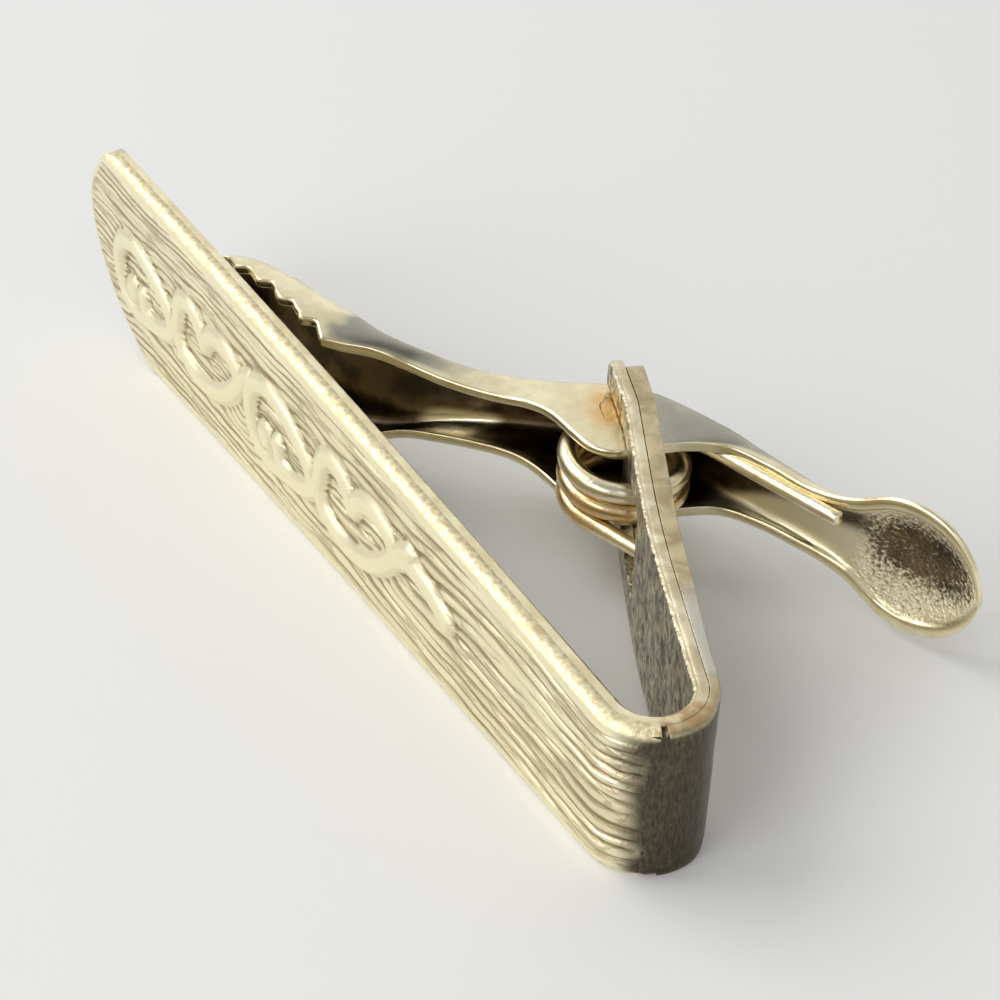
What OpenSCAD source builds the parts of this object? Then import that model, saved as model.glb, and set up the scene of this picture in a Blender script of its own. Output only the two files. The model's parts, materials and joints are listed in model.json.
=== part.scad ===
// Spring tie clip: a tapered front plate with a running scroll, a strip bent
// back behind it into a fork, and a toothed lever on a pin with a coil spring.
// Millimetres. +X runs along the plate to the bend, -Y is the worn front,
// +Z is up across the plate. Origin: centre of the bounding box's bottom.

/* [Front plate] */

// length from the bend's centre to the rounded end
plate_length = 42.4; // [38:0.2:46]
// height of the strip at the bend
bend_height = 7; // [6.6:0.1:7.6]
// growth of the height per millimetre towards the rounded end
plate_taper = 0.089; // [0.06:0.001:0.1]
// thickness of the decorated plate
plate_t = 0.6; // [0.5:0.05:0.7]
// how far the rounded end bows out to the front
plate_bow = 0.67; // [0.3:0.01:0.9]

/* [Scroll] */

// length of one repeat of the scroll, which is two loops
scroll_repeat = 13.4; // [13:0.1:13.6]
// where the scroll starts, from the bend's centre
scroll_start = 39.7; // [39.4:0.1:39.8]
// width of the scroll's stem
scroll_band = 0.8; // [0.6:0.05:0.9]
// radius of the round boss in every other loop
boss_r = 0.6; // [0.4:0.05:0.7]
// height of the scroll above the plate
scroll_relief = 0.16; // [0.1:0.01:0.25]

/* [Strip and bend] */

// thickness of the inner strip
strip_t = 0.55; // [0.5:0.01:0.65]
// thickness of the leg's outer strip
back_t = 0.56; // [0.5:0.01:0.6]
// its thickness where it is stretched round the bend
back_thin_t = 0.41; // [0.35:0.01:0.5]
// inner radius of the bend
bend_r = 1.36; // [1.2:0.02:1.6]
// length of the leg behind the bend
leg_length = 19.4; // [19:0.1:19.8]
// slope of the leg at the bend, in degrees
leg_slope = 23.5; // [23:0.1:24]
// slope of the leg along its middle
leg_mid_slope = 28.5; // [28:0.1:29]
// slope of the leg at its end
leg_end_slope = 22; // [21:0.1:23]
// widest gap between the leg's two layers
layer_gap = 0.15; // [0.1:0.01:0.2]
// how much shorter the outer layer is at its end
layer_step = 0.5; // [0.3:0.05:0.8]

/* [Fork and pin] */

// height of the fork's slot
slot_height = 4.2; // [4.15:0.01:4.3]
// depth of the fork's slot
slot_depth = 8.8; // [8.4:0.1:9.1]
// radius of the pivot pin
pin_r = 0.4; // [0.36:0.01:0.42]
// length of the pivot pin
pin_length = 5.8; // [5.4:0.1:6.2]
// distance from the pin to the leg's end
pin_back = 2.85; // [2.8:0.05:3]
// radial clearance between the pin and the lever
pin_clearance = 0.03; // [0.02:0.01:0.08]

/* [Lever] */

// thickness of the lever's sheet
lever_t = 0.35; // [0.3:0.01:0.4]
// number of teeth along each edge of the jaw
teeth = 6; // [5:1:7]
// depth of a tooth
tooth_depth = 0.5; // [0.3:0.05:0.7]
// radius of the thumb spoon
spoon_r = 3.15; // [2.9:0.05:3.2]
// depth of the spoon's dish
spoon_depth = 0.9; // [0.7:0.05:1.1]

/* [Spring] */

// diameter of the spring's wire
wire_d = 0.58; // [0.54:0.01:0.6]
// radius of the coil to the middle of the wire
coil_r = 2.35; // [2.3:0.01:2.4]
// rise of the coil per turn
coil_pitch = 1.02; // [1.01:0.01:1.03]

/* [Hidden] */

gold = [0.86, 0.78, 0.55];
pale = [0.80, 0.74, 0.60];
grey = [0.62, 0.58, 0.50];
brown = [0.66, 0.45, 0.26];

// sizes that follow from the driving ones
half_h = bend_height / 2;
half_taper = plate_taper / 2;
tip_x = -plate_length;
bend_out = bend_r + strip_t + plate_t;
plate_steps = 14;
bend_step = 8;

// the bend's layers, as angles from the front round to the leg
bend_angle = 180 - leg_slope;
plate_end_angle = 63;
back_start_angle = 69;
thin_from_angle = 105;
thin_to_angle = 130;
thin_until = 1.5;
full_from = 5;
solder_depth = 0.25;

// the leg's stations
leg_steps = 24;
leg_ds = leg_length / leg_steps;
ramp_from = 5;
ramp_to = 11;
tail_from = leg_length - 3.6;
gap_from = 3;
gap_to = 10;
end_gap = 0.1;
cut_reach = 2;

function bow(x) = x < 0 ? plate_bow * pow(x / plate_length, 2) : 0;
function half_at(x) = half_h + half_taper * max(0, -x);
function reverse(list) = [for (i = [len(list) - 1 : -1 : 0]) list[i]];
function mix(a, b, t) = a + (b - a) * min(1, max(0, t));

// a smooth curve through a few points
function curve_point(a, b, c, d, t) =
    0.5 * ((2 * b) + (c - a) * t + (2 * a - 5 * b + 4 * c - d) * t * t
           + (3 * b - a - 3 * c + d) * t * t * t);
function curve(p, steps) = concat(
    [for (i = [0 : len(p) - 2], k = [0 : steps - 1])
        curve_point(p[max(0, i - 1)], p[i], p[i + 1], p[min(len(p) - 1, i + 2)], k / steps)],
    [p[len(p) - 1]]);

// The strip's inner face in plan: each station is a point and a heading.
path_start = tip_x - 0.6;
plate_path = [for (i = [0 : plate_steps])
    let (x = path_start * (1 - i / plate_steps)) [[x, -bend_r - bow(x)], 0]];
function bend_path(from, to) = [for (i = [0 : bend_step])
    let (a = from + (to - from) * i / bend_step) [[bend_r * sin(a), -bend_r * cos(a)], a]];
function slope_at(s) = s < tail_from
    ? mix(leg_slope, leg_mid_slope, (s - ramp_from) / (ramp_to - ramp_from))
    : leg_end_slope;
function leg_stations(i, p) = i > leg_steps ? [] :
    let (slope = slope_at(i * leg_ds))
    concat([[p, 180 - slope]],
           leg_stations(i + 1, p + leg_ds * [-cos(slope), sin(slope)]));
leg_start = bend_r * [sin(bend_angle), -cos(bend_angle)];
leg_path = leg_stations(0, leg_start);
function leg_to(s) = [for (i = [0 : round(s / leg_ds)]) leg_path[i]];

leg_strip = concat(bend_path(bend_angle - 20, bend_angle), leg_path);

// a point at a distance outwards from a station
function out(station, off) = station[0] + off * [sin(station[1]), -cos(station[1])];
function side(path, off) = [for (station = path) out(station, off)];
function band(path, from, to) = concat(side(path, from), reverse(side(path, to)));

// the outer strip's thickness round the bend and along the leg
function thin_at(a) = mix(back_t, back_thin_t, (a - thin_from_angle) / (thin_to_angle - thin_from_angle));
function thick_at(s) = mix(back_thin_t, back_t, (s - thin_until) / (full_from - thin_until));
back_bend = bend_path(back_start_angle, bend_angle);

// the gap between the leg's layers, and the outer layer's two faces
function gap_at(s) = mix(0, layer_gap, (s - gap_from) / (gap_to - gap_from))
    + mix(0, end_gap, (s - tail_from) / (leg_length - tail_from));
back_path = leg_to(leg_length - layer_step);
back_last = len(back_path) - 1;
back_inner = [for (i = [0 : back_last])
    out(back_path[i], strip_t + gap_at(i * leg_ds))];
back_outer = [for (i = [0 : back_last])
    out(back_path[i], strip_t + gap_at(i * leg_ds) + thick_at(i * leg_ds))];
bend_outer = [for (i = [0 : bend_step - 1])
    out(back_bend[i], strip_t + thin_at(back_bend[i][1]))];
bend_inner = [for (i = [0 : bend_step - 1]) out(back_bend[i], strip_t)];

// the pivot sits between the leg's layers
function leg_at(s) = let (i = floor(s / leg_ds), t = s / leg_ds - i)
    [leg_path[i][0] * (1 - t) + leg_path[i + 1][0] * t, leg_path[i][1]];
pivot_station = leg_at(leg_length - pin_back);
pivot = out(pivot_station, strip_t + layer_gap / 2);

// The rounded end in the front view, as steps from its middle, up from the low corner.
end_points = [[6.2, -half_at(tip_x + 6.2)], [4.5, -4.75], [3.1, -4], [1.8, -3], [1, -2],
              [0.4, -1], [0, 0], [-0.15, 1.2], [0, 2.4], [0.5, 3.4], [1.3, 4.3],
              [1.85, 4.9], [2.4, 5.2], [3.2, half_at(tip_x + 3.2)]];
end_half = half_at(tip_x);
plate_outline = concat(
    [for (p = curve(end_points, 2)) [tip_x + p[0], p[1]]],
    [[0, half_h], [bend_out + 1, half_h], [bend_out + 1, -half_h], [0, -half_h]]);

// The scroll's stems over one repeat, from its start: over the first loop, under it and
// up into the second loop's curl, under the second loop, and over its right end.
stem_over = [[0.4, -0.7], [0.4, 0.4], [1, 1.3], [2.2, 1.7], [3.5, 1.4], [4.7, 0.8],
             [5.6, 0.1], [6.1, -0.7]];
stem_under = [[2.9, -0.7], [3.2, -1.5], [4.3, -1.7], [5.5, -1.3], [6.3, -0.6], [6.7, 0.2],
              [6.9, 1], [7.5, 1.6], [8.4, 1.6], [9, 1.1], [9.5, 0.4]];
stem_ring = [[0.4, -0.7], [0.8, -1.6], [1.9, -2.1], [3.2, -1.9], [4.3, -1.7]];
stem_next = [[6.5, -0.6], [7, -1.4], [8.1, -1.9], [9.4, -1.9], [10.7, -1.5], [11.8, -0.8],
             [12.7, 0.1], [13.3, 0.8], [14, 1.3]];
stem_right = [[9.5, 0.4], [10.2, 1.2], [11.3, 1.4], [12.3, 1.2], [12.9, 0.5]];
stem_tail = [[26.2, 0.2], [27.2, 0.8], [28.4, 0.7], [29.4, 0.4], [30.2, 0]];
boss_at = [1.75, -1];
function ribbon(points, width) =
    let (n = len(points) - 1,
         normal = [for (i = [0 : n])
             let (d = points[min(n, i + 1)] - points[max(0, i - 1)]) [-d[1], d[0]] / norm(d)])
    concat([for (i = [0 : n]) points[i] + normal[i] * width / 2],
           reverse([for (i = [0 : n]) points[i] - normal[i] * width / 2]));

// The lever is one bent sheet. Each row is a section from the jaw's tip to the spoon:
// its back point, its front edge, its half width, and how round it is (1 is round).
spoon_at = [-3.2, 14.5];
spoon_turn = 18;
spoon_along = [cos(spoon_turn), sin(spoon_turn)];
spoon_back = [-sin(spoon_turn), cos(spoon_turn)];
function spoon_row(s) =
    let (rise = sqrt(max(0, 1 - s * s)),
         front = spoon_at + spoon_along * spoon_r * s,
         back = front + spoon_back * (lever_t + spoon_depth * rise * rise))
    [back[0], back[1], front[0], front[1], spoon_r * rise, 1];
lever_rows = concat([
    [-34.3, -1.05, -34.1, -1.5, 1.2, 0.8],
    [-33.8, -0.5, -33.8, -1.45, 2.1, 0.7],
    [-33, 0.1, -33.1, -1.35, 2.8, 0.65],
    [-32, 0.95, -32.2, -1.2, 3.25, 0.6],
    [-31, 1.5, -31.2, -1.05, 3.4, 0.6],
    [-29.4, 2, -29.6, -0.8, 3.5, 0.6],
    [-27.6, 2.55, -27.9, -0.55, 3.42, 0.6],
    [-26, 3.1, -26.3, -0.25, 3.3, 0.6],
    [-24.6, 3.65, -25, 0, 3.02, 0.6],
    [-23.6, 4.2, -24.3, 0.8, 2.75, 0.6],
    [-22.7, 4.85, -23.6, 2, 2.4, 0.6],
    [-21.8, 5.6, -22.7, 2.95, 2.02, 0.55],
    [-20.9, 6.5, -21.3, 3.9, 1.75, 0.5],
    [-19.9, 7.7, -20, 4.85, 1.62, 0.45],
    [-18.9, 8.85, -19, 5.6, 1.62, 0.4],
    [-17.9, 9.9, -18, 6.2, 1.76, 0.3],
    [-16.8, 10.8, -16.8, 6.5, 1.93, 0.25],
    [-15.4, 11.65, -15.3, 6.55, 1.97, 0.22],
    [-14, 12.15, -14, 6.65, 1.97, 0.22],
    [-12.8, 12.5, -13.1, 7.3, 1.97, 0.22],
    [-12, 12.7, -12.65, 8.6, 1.97, 0.25],
    [-11.3, 12.85, -12.2, 10.1, 1.93, 0.3],
    [-10.5, 13.05, -11.3, 11.5, 1.82, 0.4],
    [-9.4, 13.35, -9.7, 12.3, 1.72, 0.5],
    [-8, 13.75, -8.1, 12.75, 1.65, 0.6],
    [-6.9, 14.05, -6.8, 13.2, 1.75, 0.75],
    [-6, 14.4, -5.7, 13.65, 2.1, 0.9]],
    [for (s = [-0.55, -0.25, 0.1, 0.4, 0.65, 0.85, 0.96, 0.985]) spoon_row(s)]);
lever_line = curve(lever_rows, 2);
lever_sides = 8;
least_depth = 0.02;
function sheet_side(row, inset) =
    let (front = [row[2], row[3]],
         back = [row[0], row[1]],
         depth = norm(back - front),
         reach = (back - front) / depth * max(least_depth, depth - inset),
         w = row[4] - inset)
    [for (i = [0 : lever_sides])
        let (c = cos(180 * i / lever_sides), r = pow(sin(180 * i / lever_sides), row[5]))
            [front[0] + reach[0] * r, front[1] + reach[1] * r, w * sign(c) * pow(abs(c), row[5])]];

// the saw line of the jaw's teeth
tooth_first = [-32.6, -1.1];
tooth_last = [-24.6, 0.1];
tooth_rake = 0.3;
tooth_step = (tooth_last - tooth_first) / (teeth - 1);
tooth_line = [for (i = [0 : teeth - 1], up = [0, 1])
    tooth_first + tooth_step * i + up * [tooth_rake, tooth_depth]];

// the spring, in the lever's plan
coil_at = [-14, 8.5];
coil_sides = 6;
coil_rings = 8;
wire_r = wire_d / 2;
arm_angle = 106;
foot_angle = 284 + 720;
coil_top = 1.25;
arm_length = 9.4;
arm_drop = 0.55;
foot_length = 5.4;
function coil_point(a) = [coil_at[0] + coil_r * cos(a), coil_at[1] + coil_r * sin(a),
                          coil_top - coil_pitch * (a - arm_angle) / 360];
arm_dir = [sin(arm_angle), -cos(arm_angle), 0];
foot_dir = [-sin(foot_angle), cos(foot_angle), 0];
function arm_point(t) = coil_point(arm_angle) + arm_dir * arm_length * t - [0, 0, arm_drop * t];
turn_steps = round((foot_angle - arm_angle) / 360 * coil_rings);
spring_line = concat(
    [arm_point(1), arm_point(1 - wire_d / arm_length), arm_point(0.5)],
    [for (i = [0 : turn_steps])
        coil_point(arm_angle + (foot_angle - arm_angle) * i / turn_steps)],
    [for (t = [0.5, 1 - wire_d / foot_length, 1])
        coil_point(foot_angle) + foot_dir * foot_length * t]);

// Where the bounding box lies, so that the model stands on z = 0 under its centre.
left_x = min([for (p = plate_outline) p[0]]);
right_x = max([for (p = bend_outer) p[0]]);
front_y = -bend_out - max(bow(left_x), bow(-scroll_start) + scroll_relief);
back_y = max([for (row = lever_line) row[1]]);
shift = [-(left_x + right_x) / 2, -(front_y + back_y) / 2,
         -min([for (p = plate_outline) p[1]])];

module place() { translate(shift) children(); }

// turns an outline drawn in the front view into a slab along Y
slab_reach = 40;
module front_slab() {
    rotate([90, 0, 0]) linear_extrude(slab_reach, center = true) children();
}
module upright(height) { linear_extrude(height, center = true) children(); }

// the bar's part of a layer, cut to the tapered outline
module bar_layer(from, to, last_angle) {
    intersection() {
        upright(2 * end_half + 1)
            polygon(band(concat(plate_path, bend_path(0, last_angle)), from, to));
        front_slab() polygon(plate_outline);
    }
}

module pivot_rod(radius, length) {
    translate([pivot[0], pivot[1], 0]) cylinder(r = radius, h = length, center = true, $fn = 48);
}

module stem(points, start) {
    translate([-scroll_start + start, 0]) polygon(ribbon(curve(points, 3), scroll_band));
}
module scroll_pattern() {
    for (start = [0, scroll_repeat]) {
        for (points = [stem_over, stem_under, stem_ring, stem_next, stem_right])
            stem(points, start);
        translate([-scroll_start + start + boss_at[0], boss_at[1]]) circle(r = boss_r, $fn = 24);
    }
    stem(stem_tail, 0);
}

module front_plate() {
    color(gold) place() {
        bar_layer(strip_t, strip_t + plate_t, plate_end_angle);
        intersection() {
            upright(2 * half_h)
                polygon(band(plate_path, strip_t + plate_t / 2, strip_t + plate_t + scroll_relief));
            front_slab() scroll_pattern();
        }
    }
}

// the fork's slot, over the leg's last stretch
module fork_slot() {
    first = leg_at(leg_length - slot_depth);
    last = leg_path[leg_steps];
    past = [last[0] + cut_reach * [cos(last[1]), sin(last[1])], first[1]];
    upright(slot_height) polygon(band([first, past], -cut_reach, cut_reach + strip_t + back_t));
}

// a round end from a strip's inner corner to its outer corner
function round_end(inner, outer) =
    let (c = (inner + outer) / 2, v = (outer - inner) / 2)
    [for (a = [160 : -20 : 20]) c + v * cos(a) + [-v[1], v[0]] * sin(a)];

module spine_strip() {
    color(pale) place() {
        bar_layer(0, strip_t, bend_angle);
        difference() {
            upright(bend_height)
                polygon(concat(side(leg_strip, 0),
                               round_end(out(leg_path[leg_steps], 0),
                                         out(leg_path[leg_steps], strip_t)),
                               reverse(side(leg_strip, strip_t))));
            fork_slot();
            pivot_rod(pin_r, pin_length);
        }
    }
}

module back_strip() {
    color(grey) place() difference() {
        upright(bend_height)
            polygon(concat(bend_inner, back_inner,
                           round_end(back_inner[back_last], back_outer[back_last]),
                           reverse(back_outer), reverse(bend_outer)));
        fork_slot();
        pivot_rod(pin_r, pin_length);
    }
}

module bend_solder() {
    color(brown) place() upright(bend_height)
        polygon(band(bend_path(plate_end_angle, back_start_angle), strip_t,
                     strip_t + plate_t - solder_depth));
}

module pivot_pin() {
    color(pale) place() pivot_rod(pin_r, pin_length);
}

// the sheet: rings of points round each section, joined by triangles
module lever_sheet() {
    n = len(lever_line);
    m = 2 * (lever_sides + 1);
    points = [for (row = lever_line)
        each concat(sheet_side(row, 0), reverse(sheet_side(row, lever_t)))];
    walls = [for (i = [0 : n - 2], k = [0 : m - 1])
        let (a = i * m + k, b = i * m + (k + 1) % m) each [[a, b, a + m], [b, b + m, a + m]]];
    ends = [for (base = [0, (n - 1) * m], k = [0 : lever_sides - 1])
        let (a = base + k, b = base + m - 1 - k)
            each base == 0 ? [[a, b, a + 1], [a + 1, b, b - 1]] : [[a, a + 1, b], [a + 1, b - 1, b]]];
    polyhedron(points, concat(walls, ends));
}

module jaw_lever() {
    color(gold) place() difference() {
        lever_sheet();
        pivot_rod(pin_r + pin_clearance, bend_height);
        upright(bend_height + 1)
            polygon(concat(tooth_line, [tooth_last + [tooth_rake, -1], tooth_first + [-2, -1],
                                        tooth_first + [-2, -0.5]]));
    }
}

// one unbroken tube along a line of points, six-sided, with flat ends
function tube_ring(line, i) =
    let (n = len(line) - 1,
         d = line[min(n, i + 1)] - line[max(0, i - 1)],
         t = d / norm(d),
         u = cross([0, 0, 1], t) / norm(cross([0, 0, 1], t)),
         v = cross(t, u))
    [for (k = [0 : coil_sides - 1])
        line[i] + wire_r * (u * cos(360 * k / coil_sides) + v * sin(360 * k / coil_sides))];
module tube(line) {
    n = len(line);
    s = coil_sides;
    points = [for (i = [0 : n - 1]) each tube_ring(line, i)];
    walls = [for (i = [0 : n - 2], k = [0 : s - 1])
        let (a = i * s + k, b = i * s + (k + 1) % s) each [[a, a + s, b], [b, a + s, b + s]]];
    caps = concat([for (k = [1 : s - 2]) [0, k, k + 1]],
                  [for (k = [1 : s - 2]) [(n - 1) * s, (n - 1) * s + k + 1, (n - 1) * s + k]]);
    polyhedron(points, concat(walls, caps));
}

module torsion_spring() {
    color(gold) place() tube(spring_line);
}

// the spring's least gap to itself, between points a half turn or more apart
spring_gap = min([for (i = [0 : len(spring_line) - 1], j = [0 : len(spring_line) - 1])
    if (j > i + coil_rings / 2) norm(spring_line[i] - spring_line[j])]) - wire_d;
echo(str("least gap of the spring to itself, in mm: ", spring_gap));

front_plate();
spine_strip();
back_strip();
bend_solder();
pivot_pin();
jaw_lever();
torsion_spring();
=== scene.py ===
# %% [markdown]
# This lesson dresses a spring tie clip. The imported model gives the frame: a long tapered bar
# that is folded back behind itself into a fork, and a toothed lever that turns on a pin in the
# fork against a coil spring. Every visible piece is rebuilt here as a finer surface in the
# same place, because stamped and worn metal lives from small rounded edges and shallow relief.

# %% Load the frame
import json
import math

import bpy
import numpy as np
from mathutils import Matrix, Vector


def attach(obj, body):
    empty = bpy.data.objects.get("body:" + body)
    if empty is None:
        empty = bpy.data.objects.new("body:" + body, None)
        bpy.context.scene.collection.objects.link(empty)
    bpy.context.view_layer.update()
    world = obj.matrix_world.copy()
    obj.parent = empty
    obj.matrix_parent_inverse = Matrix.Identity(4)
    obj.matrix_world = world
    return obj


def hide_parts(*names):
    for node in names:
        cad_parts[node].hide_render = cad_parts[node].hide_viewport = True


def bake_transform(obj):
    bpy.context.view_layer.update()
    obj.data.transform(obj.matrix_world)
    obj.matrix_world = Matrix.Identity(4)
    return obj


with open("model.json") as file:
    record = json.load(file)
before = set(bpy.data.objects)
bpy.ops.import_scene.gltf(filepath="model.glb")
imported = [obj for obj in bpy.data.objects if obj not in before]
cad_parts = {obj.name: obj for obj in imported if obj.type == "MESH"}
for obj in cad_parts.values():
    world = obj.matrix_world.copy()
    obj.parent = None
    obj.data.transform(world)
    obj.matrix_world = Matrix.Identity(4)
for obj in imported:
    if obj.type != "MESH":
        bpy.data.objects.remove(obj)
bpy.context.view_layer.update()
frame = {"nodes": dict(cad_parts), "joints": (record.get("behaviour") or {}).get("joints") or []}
print("nodes:", sorted(frame["nodes"]))

# %% [markdown]
# Lengths are easier to think about in millimetres for a thing this small, so all shapes are
# worked out in millimetres and made metres once, when they go into a mesh. The plan of the
# clip has its zero at the middle of the bend, x along the bar and y away from its back. Names
# that end in _t are thicknesses and those in _r radii. Each size stands in the cell that first
# needs it.

# %% Bow and taper of the bar
MM = 0.001
plate_length = 42.4
plate_bow = 0.67
plate_taper = 0.089
bend_height = 7.0


def bow(x):
    """How far the bar leans out to the front: a parabola that starts at the bend."""
    return plate_bow * (np.minimum(x, 0) / plate_length) ** 2


def half_at(x):
    """Half the bar's height: it grows evenly from the bend to the rounded end."""
    return bend_height / 2 + plate_taper / 2 * np.maximum(0, -x)


print("height of the bar near its rounded end, in mm:", round(2 * half_at(-plate_length), 2))

# %% [markdown]
# Worn metal has hardly a hard step in it: its edges, dents and stains begin and end softly. So
# a few soft functions serve every piece: an even step and an S-shaped one, a bell, the fall of
# a rounded edge, a smooth curve through points, and a noise that is the same in each run.
# Blender's textures can do most of this too, but here the same numbers move points and mark
# stains.


# %% Soft steps
def ramp(value, start, end):
    """Zero before start, one after end, and a straight line in between."""
    return np.clip((value - start) / (end - start), 0, 1)


def ease(value, start, end):
    """Zero before start, one after end, and a soft S in between: the even step squared, times
    three less twice the even step."""
    t = ramp(value, start, end)
    return t * t * (3 - 2 * t)


def bell(value, width):
    """One at zero, falling off softly: e to the minus square of the value over the width."""
    return np.exp(-((value / width) ** 2))


def quarter_round(distance, radius):
    """How far a rounded edge has dropped at a distance from its rim: a quarter circle."""
    near = np.clip(radius - distance, 0, radius)
    return radius - np.sqrt(radius**2 - near**2)


print("a soft step at a tenth of its way:", round(float(ease(0.1, 0, 1)), 3))


# %% Smooth curves and noise
def along(points, steps):
    """A smooth curve through rows of numbers: each stretch is the cubic whose slope at a
    row is half the step from the row before to the row after."""
    p = np.asarray(points, float)
    i = np.arange(len(p) - 1)
    a, b, c, d = p[np.maximum(i - 1, 0)], p[i], p[i + 1], p[np.minimum(i + 2, len(p) - 1)]
    t = (np.arange(steps) / steps)[None, :, None]
    a, b, c, d = (v[:, None, :] for v in (a, b, c, d))
    cubic = 0.5 * (2 * b + (c - a) * t + (2 * a - 5 * b + 4 * c - d) * t**2
                   + (3 * b - a - 3 * c + d) * t**3)
    return np.vstack([cubic.reshape(-1, p.shape[1]), p[-1]])


def streaks(x, y, seed):
    """Value noise between -1 and 1: random heights on a unit lattice, which comes back after
    64 cells, with a soft blend from each height to the next."""
    cells = 64
    table = np.random.default_rng(seed).random((cells, cells)) * 2 - 1
    i, j = np.floor(x).astype(int), np.floor(y).astype(int)
    u, v = ease(x - i, 0, 1), ease(y - j, 0, 1)
    i, j, next_i, next_j = i % cells, j % cells, (i + 1) % cells, (j + 1) % cells
    low = table[i, j] * (1 - u) + table[next_i, j] * u
    high = table[i, next_j] * (1 - u) + table[next_i, next_j] * u
    return low * (1 - v) + high * v


print("a curve through three points:", along([(0, 0), (1, 1), (2, 0)], 2).tolist())

# %% [markdown]
# The bar, the bend and the leg are one path. A length along the inner strip's inner face is
# below zero on the bar, runs round the bend, and goes on along the leg. A second number says
# how far outwards a layer lies from that face. With these two, every sheet of the clip is a
# rectangle that gets wrapped, which is just how the real one is made.

# %% Leg of the folded strip
bend_r = 1.36
leg_length = 19.4
leg_slope, leg_mid_slope, leg_end_slope = 23.5, 28.5, 22.0
leg_steps = 24
leg_step = leg_length / leg_steps
steepens_from, steepens_to = 5, 11
tail_length = 3.6
tail_from = leg_length - tail_length
bend_angle = math.radians(180 - leg_slope)
bend_length = bend_r * bend_angle


def slope_at(s):
    """Slope of the leg in degrees: it steepens along the middle and flattens at the end."""
    middle = leg_slope + (leg_mid_slope - leg_slope) * ramp(s, steepens_from, steepens_to)
    return np.where(s < tail_from, middle, leg_end_slope)


leg_at = np.arange(leg_steps + 1) * leg_step
leg_angles = np.radians(slope_at(leg_at))
leg_moves = leg_step * np.stack([-np.cos(leg_angles), np.sin(leg_angles)], 1)[:-1]
leg_start = bend_r * np.array([math.sin(bend_angle), -math.cos(bend_angle)])
leg_points = leg_start + np.vstack([np.zeros(2), np.cumsum(leg_moves, 0)])
print("the leg runs from", leg_points[0].round(2), "to", leg_points[-1].round(2))

# %% Path of the bar, the bend and the leg
bar_beyond_tip = 1
bar_at = np.linspace(-plate_length - bar_beyond_tip, 0, 90)[:-1]
turn = np.linspace(0, bend_angle, 60)[:-1]
path_at = np.concatenate([bar_at, turn * bend_r, bend_length + leg_at])
path_x = np.concatenate([bar_at, bend_r * np.sin(turn), leg_points[:, 0]])
path_y = np.concatenate([-bend_r - bow(bar_at), -bend_r * np.cos(turn), leg_points[:, 1]])
path_nx = np.concatenate([0 * bar_at, np.sin(turn), np.sin(leg_angles)])
path_ny = np.concatenate([0 * bar_at - 1, -np.cos(turn), np.cos(leg_angles)])


def wrap(length, outwards, z):
    """The point at a length along the path, a distance outwards from it and a height."""
    x = np.interp(length, path_at, path_x) + outwards * np.interp(length, path_at, path_nx)
    y = np.interp(length, path_at, path_y) + outwards * np.interp(length, path_at, path_ny)
    return np.stack(np.broadcast_arrays(x, y, z), -1)


strip_t = 0.55
layer_gap = 0.15
pin_back = 2.85
pivot = wrap(bend_length + leg_length - pin_back, strip_t + layer_gap / 2, 0.0)
shift = np.array(frame["joints"][0]["pos_m"]) * 1000 - pivot
print("pivot in plan:", pivot.round(3), "plan to frame:", shift.round(3))

# %% [markdown]
# A sheet of metal is two grids of points, its outer and its inner face, with a wall round the
# rim and round each cut-out. A Solidify modifier makes walls too, but of one thickness, and
# these sheets are thinned, dented and rounded. The faces come from whole index arrays. The
# solid's volume tells which way round they lie, so that all of them point outwards.


# %% Helper that makes a mesh
def put_mesh(name, points, faces, marks=None):
    """Makes the object from points in plan millimetres and faces, with shading smooth. The
    volume is the sum of the pyramids from the zero point to the faces, and where it is
    negative the faces are turned round."""
    used, faces_flat = np.unique(np.concatenate([f.ravel() for f in faces]),
                                 return_inverse=True)
    points = points[used]
    split = np.cumsum([f.size for f in faces])[:-1]
    faces = [part.reshape(f.shape) for part, f in zip(np.split(faces_flat, split), faces)]
    volume = sum(np.einsum("ij,ij->i", points[f[:, 0]],
                           np.cross(points[f[:, k]], points[f[:, k + 1]])).sum()
                 for f in faces for k in range(1, f.shape[1] - 1)) / 6
    if volume < 0:
        faces = [f[:, ::-1] for f in faces]
    mesh = bpy.data.meshes.new(name)
    mesh.from_pydata(((points + shift) * MM).tolist(), [],
                     [row for f in faces for row in f.tolist()])
    for mark, values in (marks or {}).items():
        layer = mesh.attributes.new(mark, "FLOAT", "POINT")
        layer.data.foreach_set("value", values[used].astype(np.float32))
    mesh.polygons.foreach_set("use_smooth", np.ones(len(mesh.polygons), bool))
    mesh.update()
    piece = bpy.data.objects.new(name, mesh)
    bpy.context.scene.collection.objects.link(piece)
    print(f"{name}: {len(mesh.vertices)} points, {abs(volume):.2f} mm3")
    return piece


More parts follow.
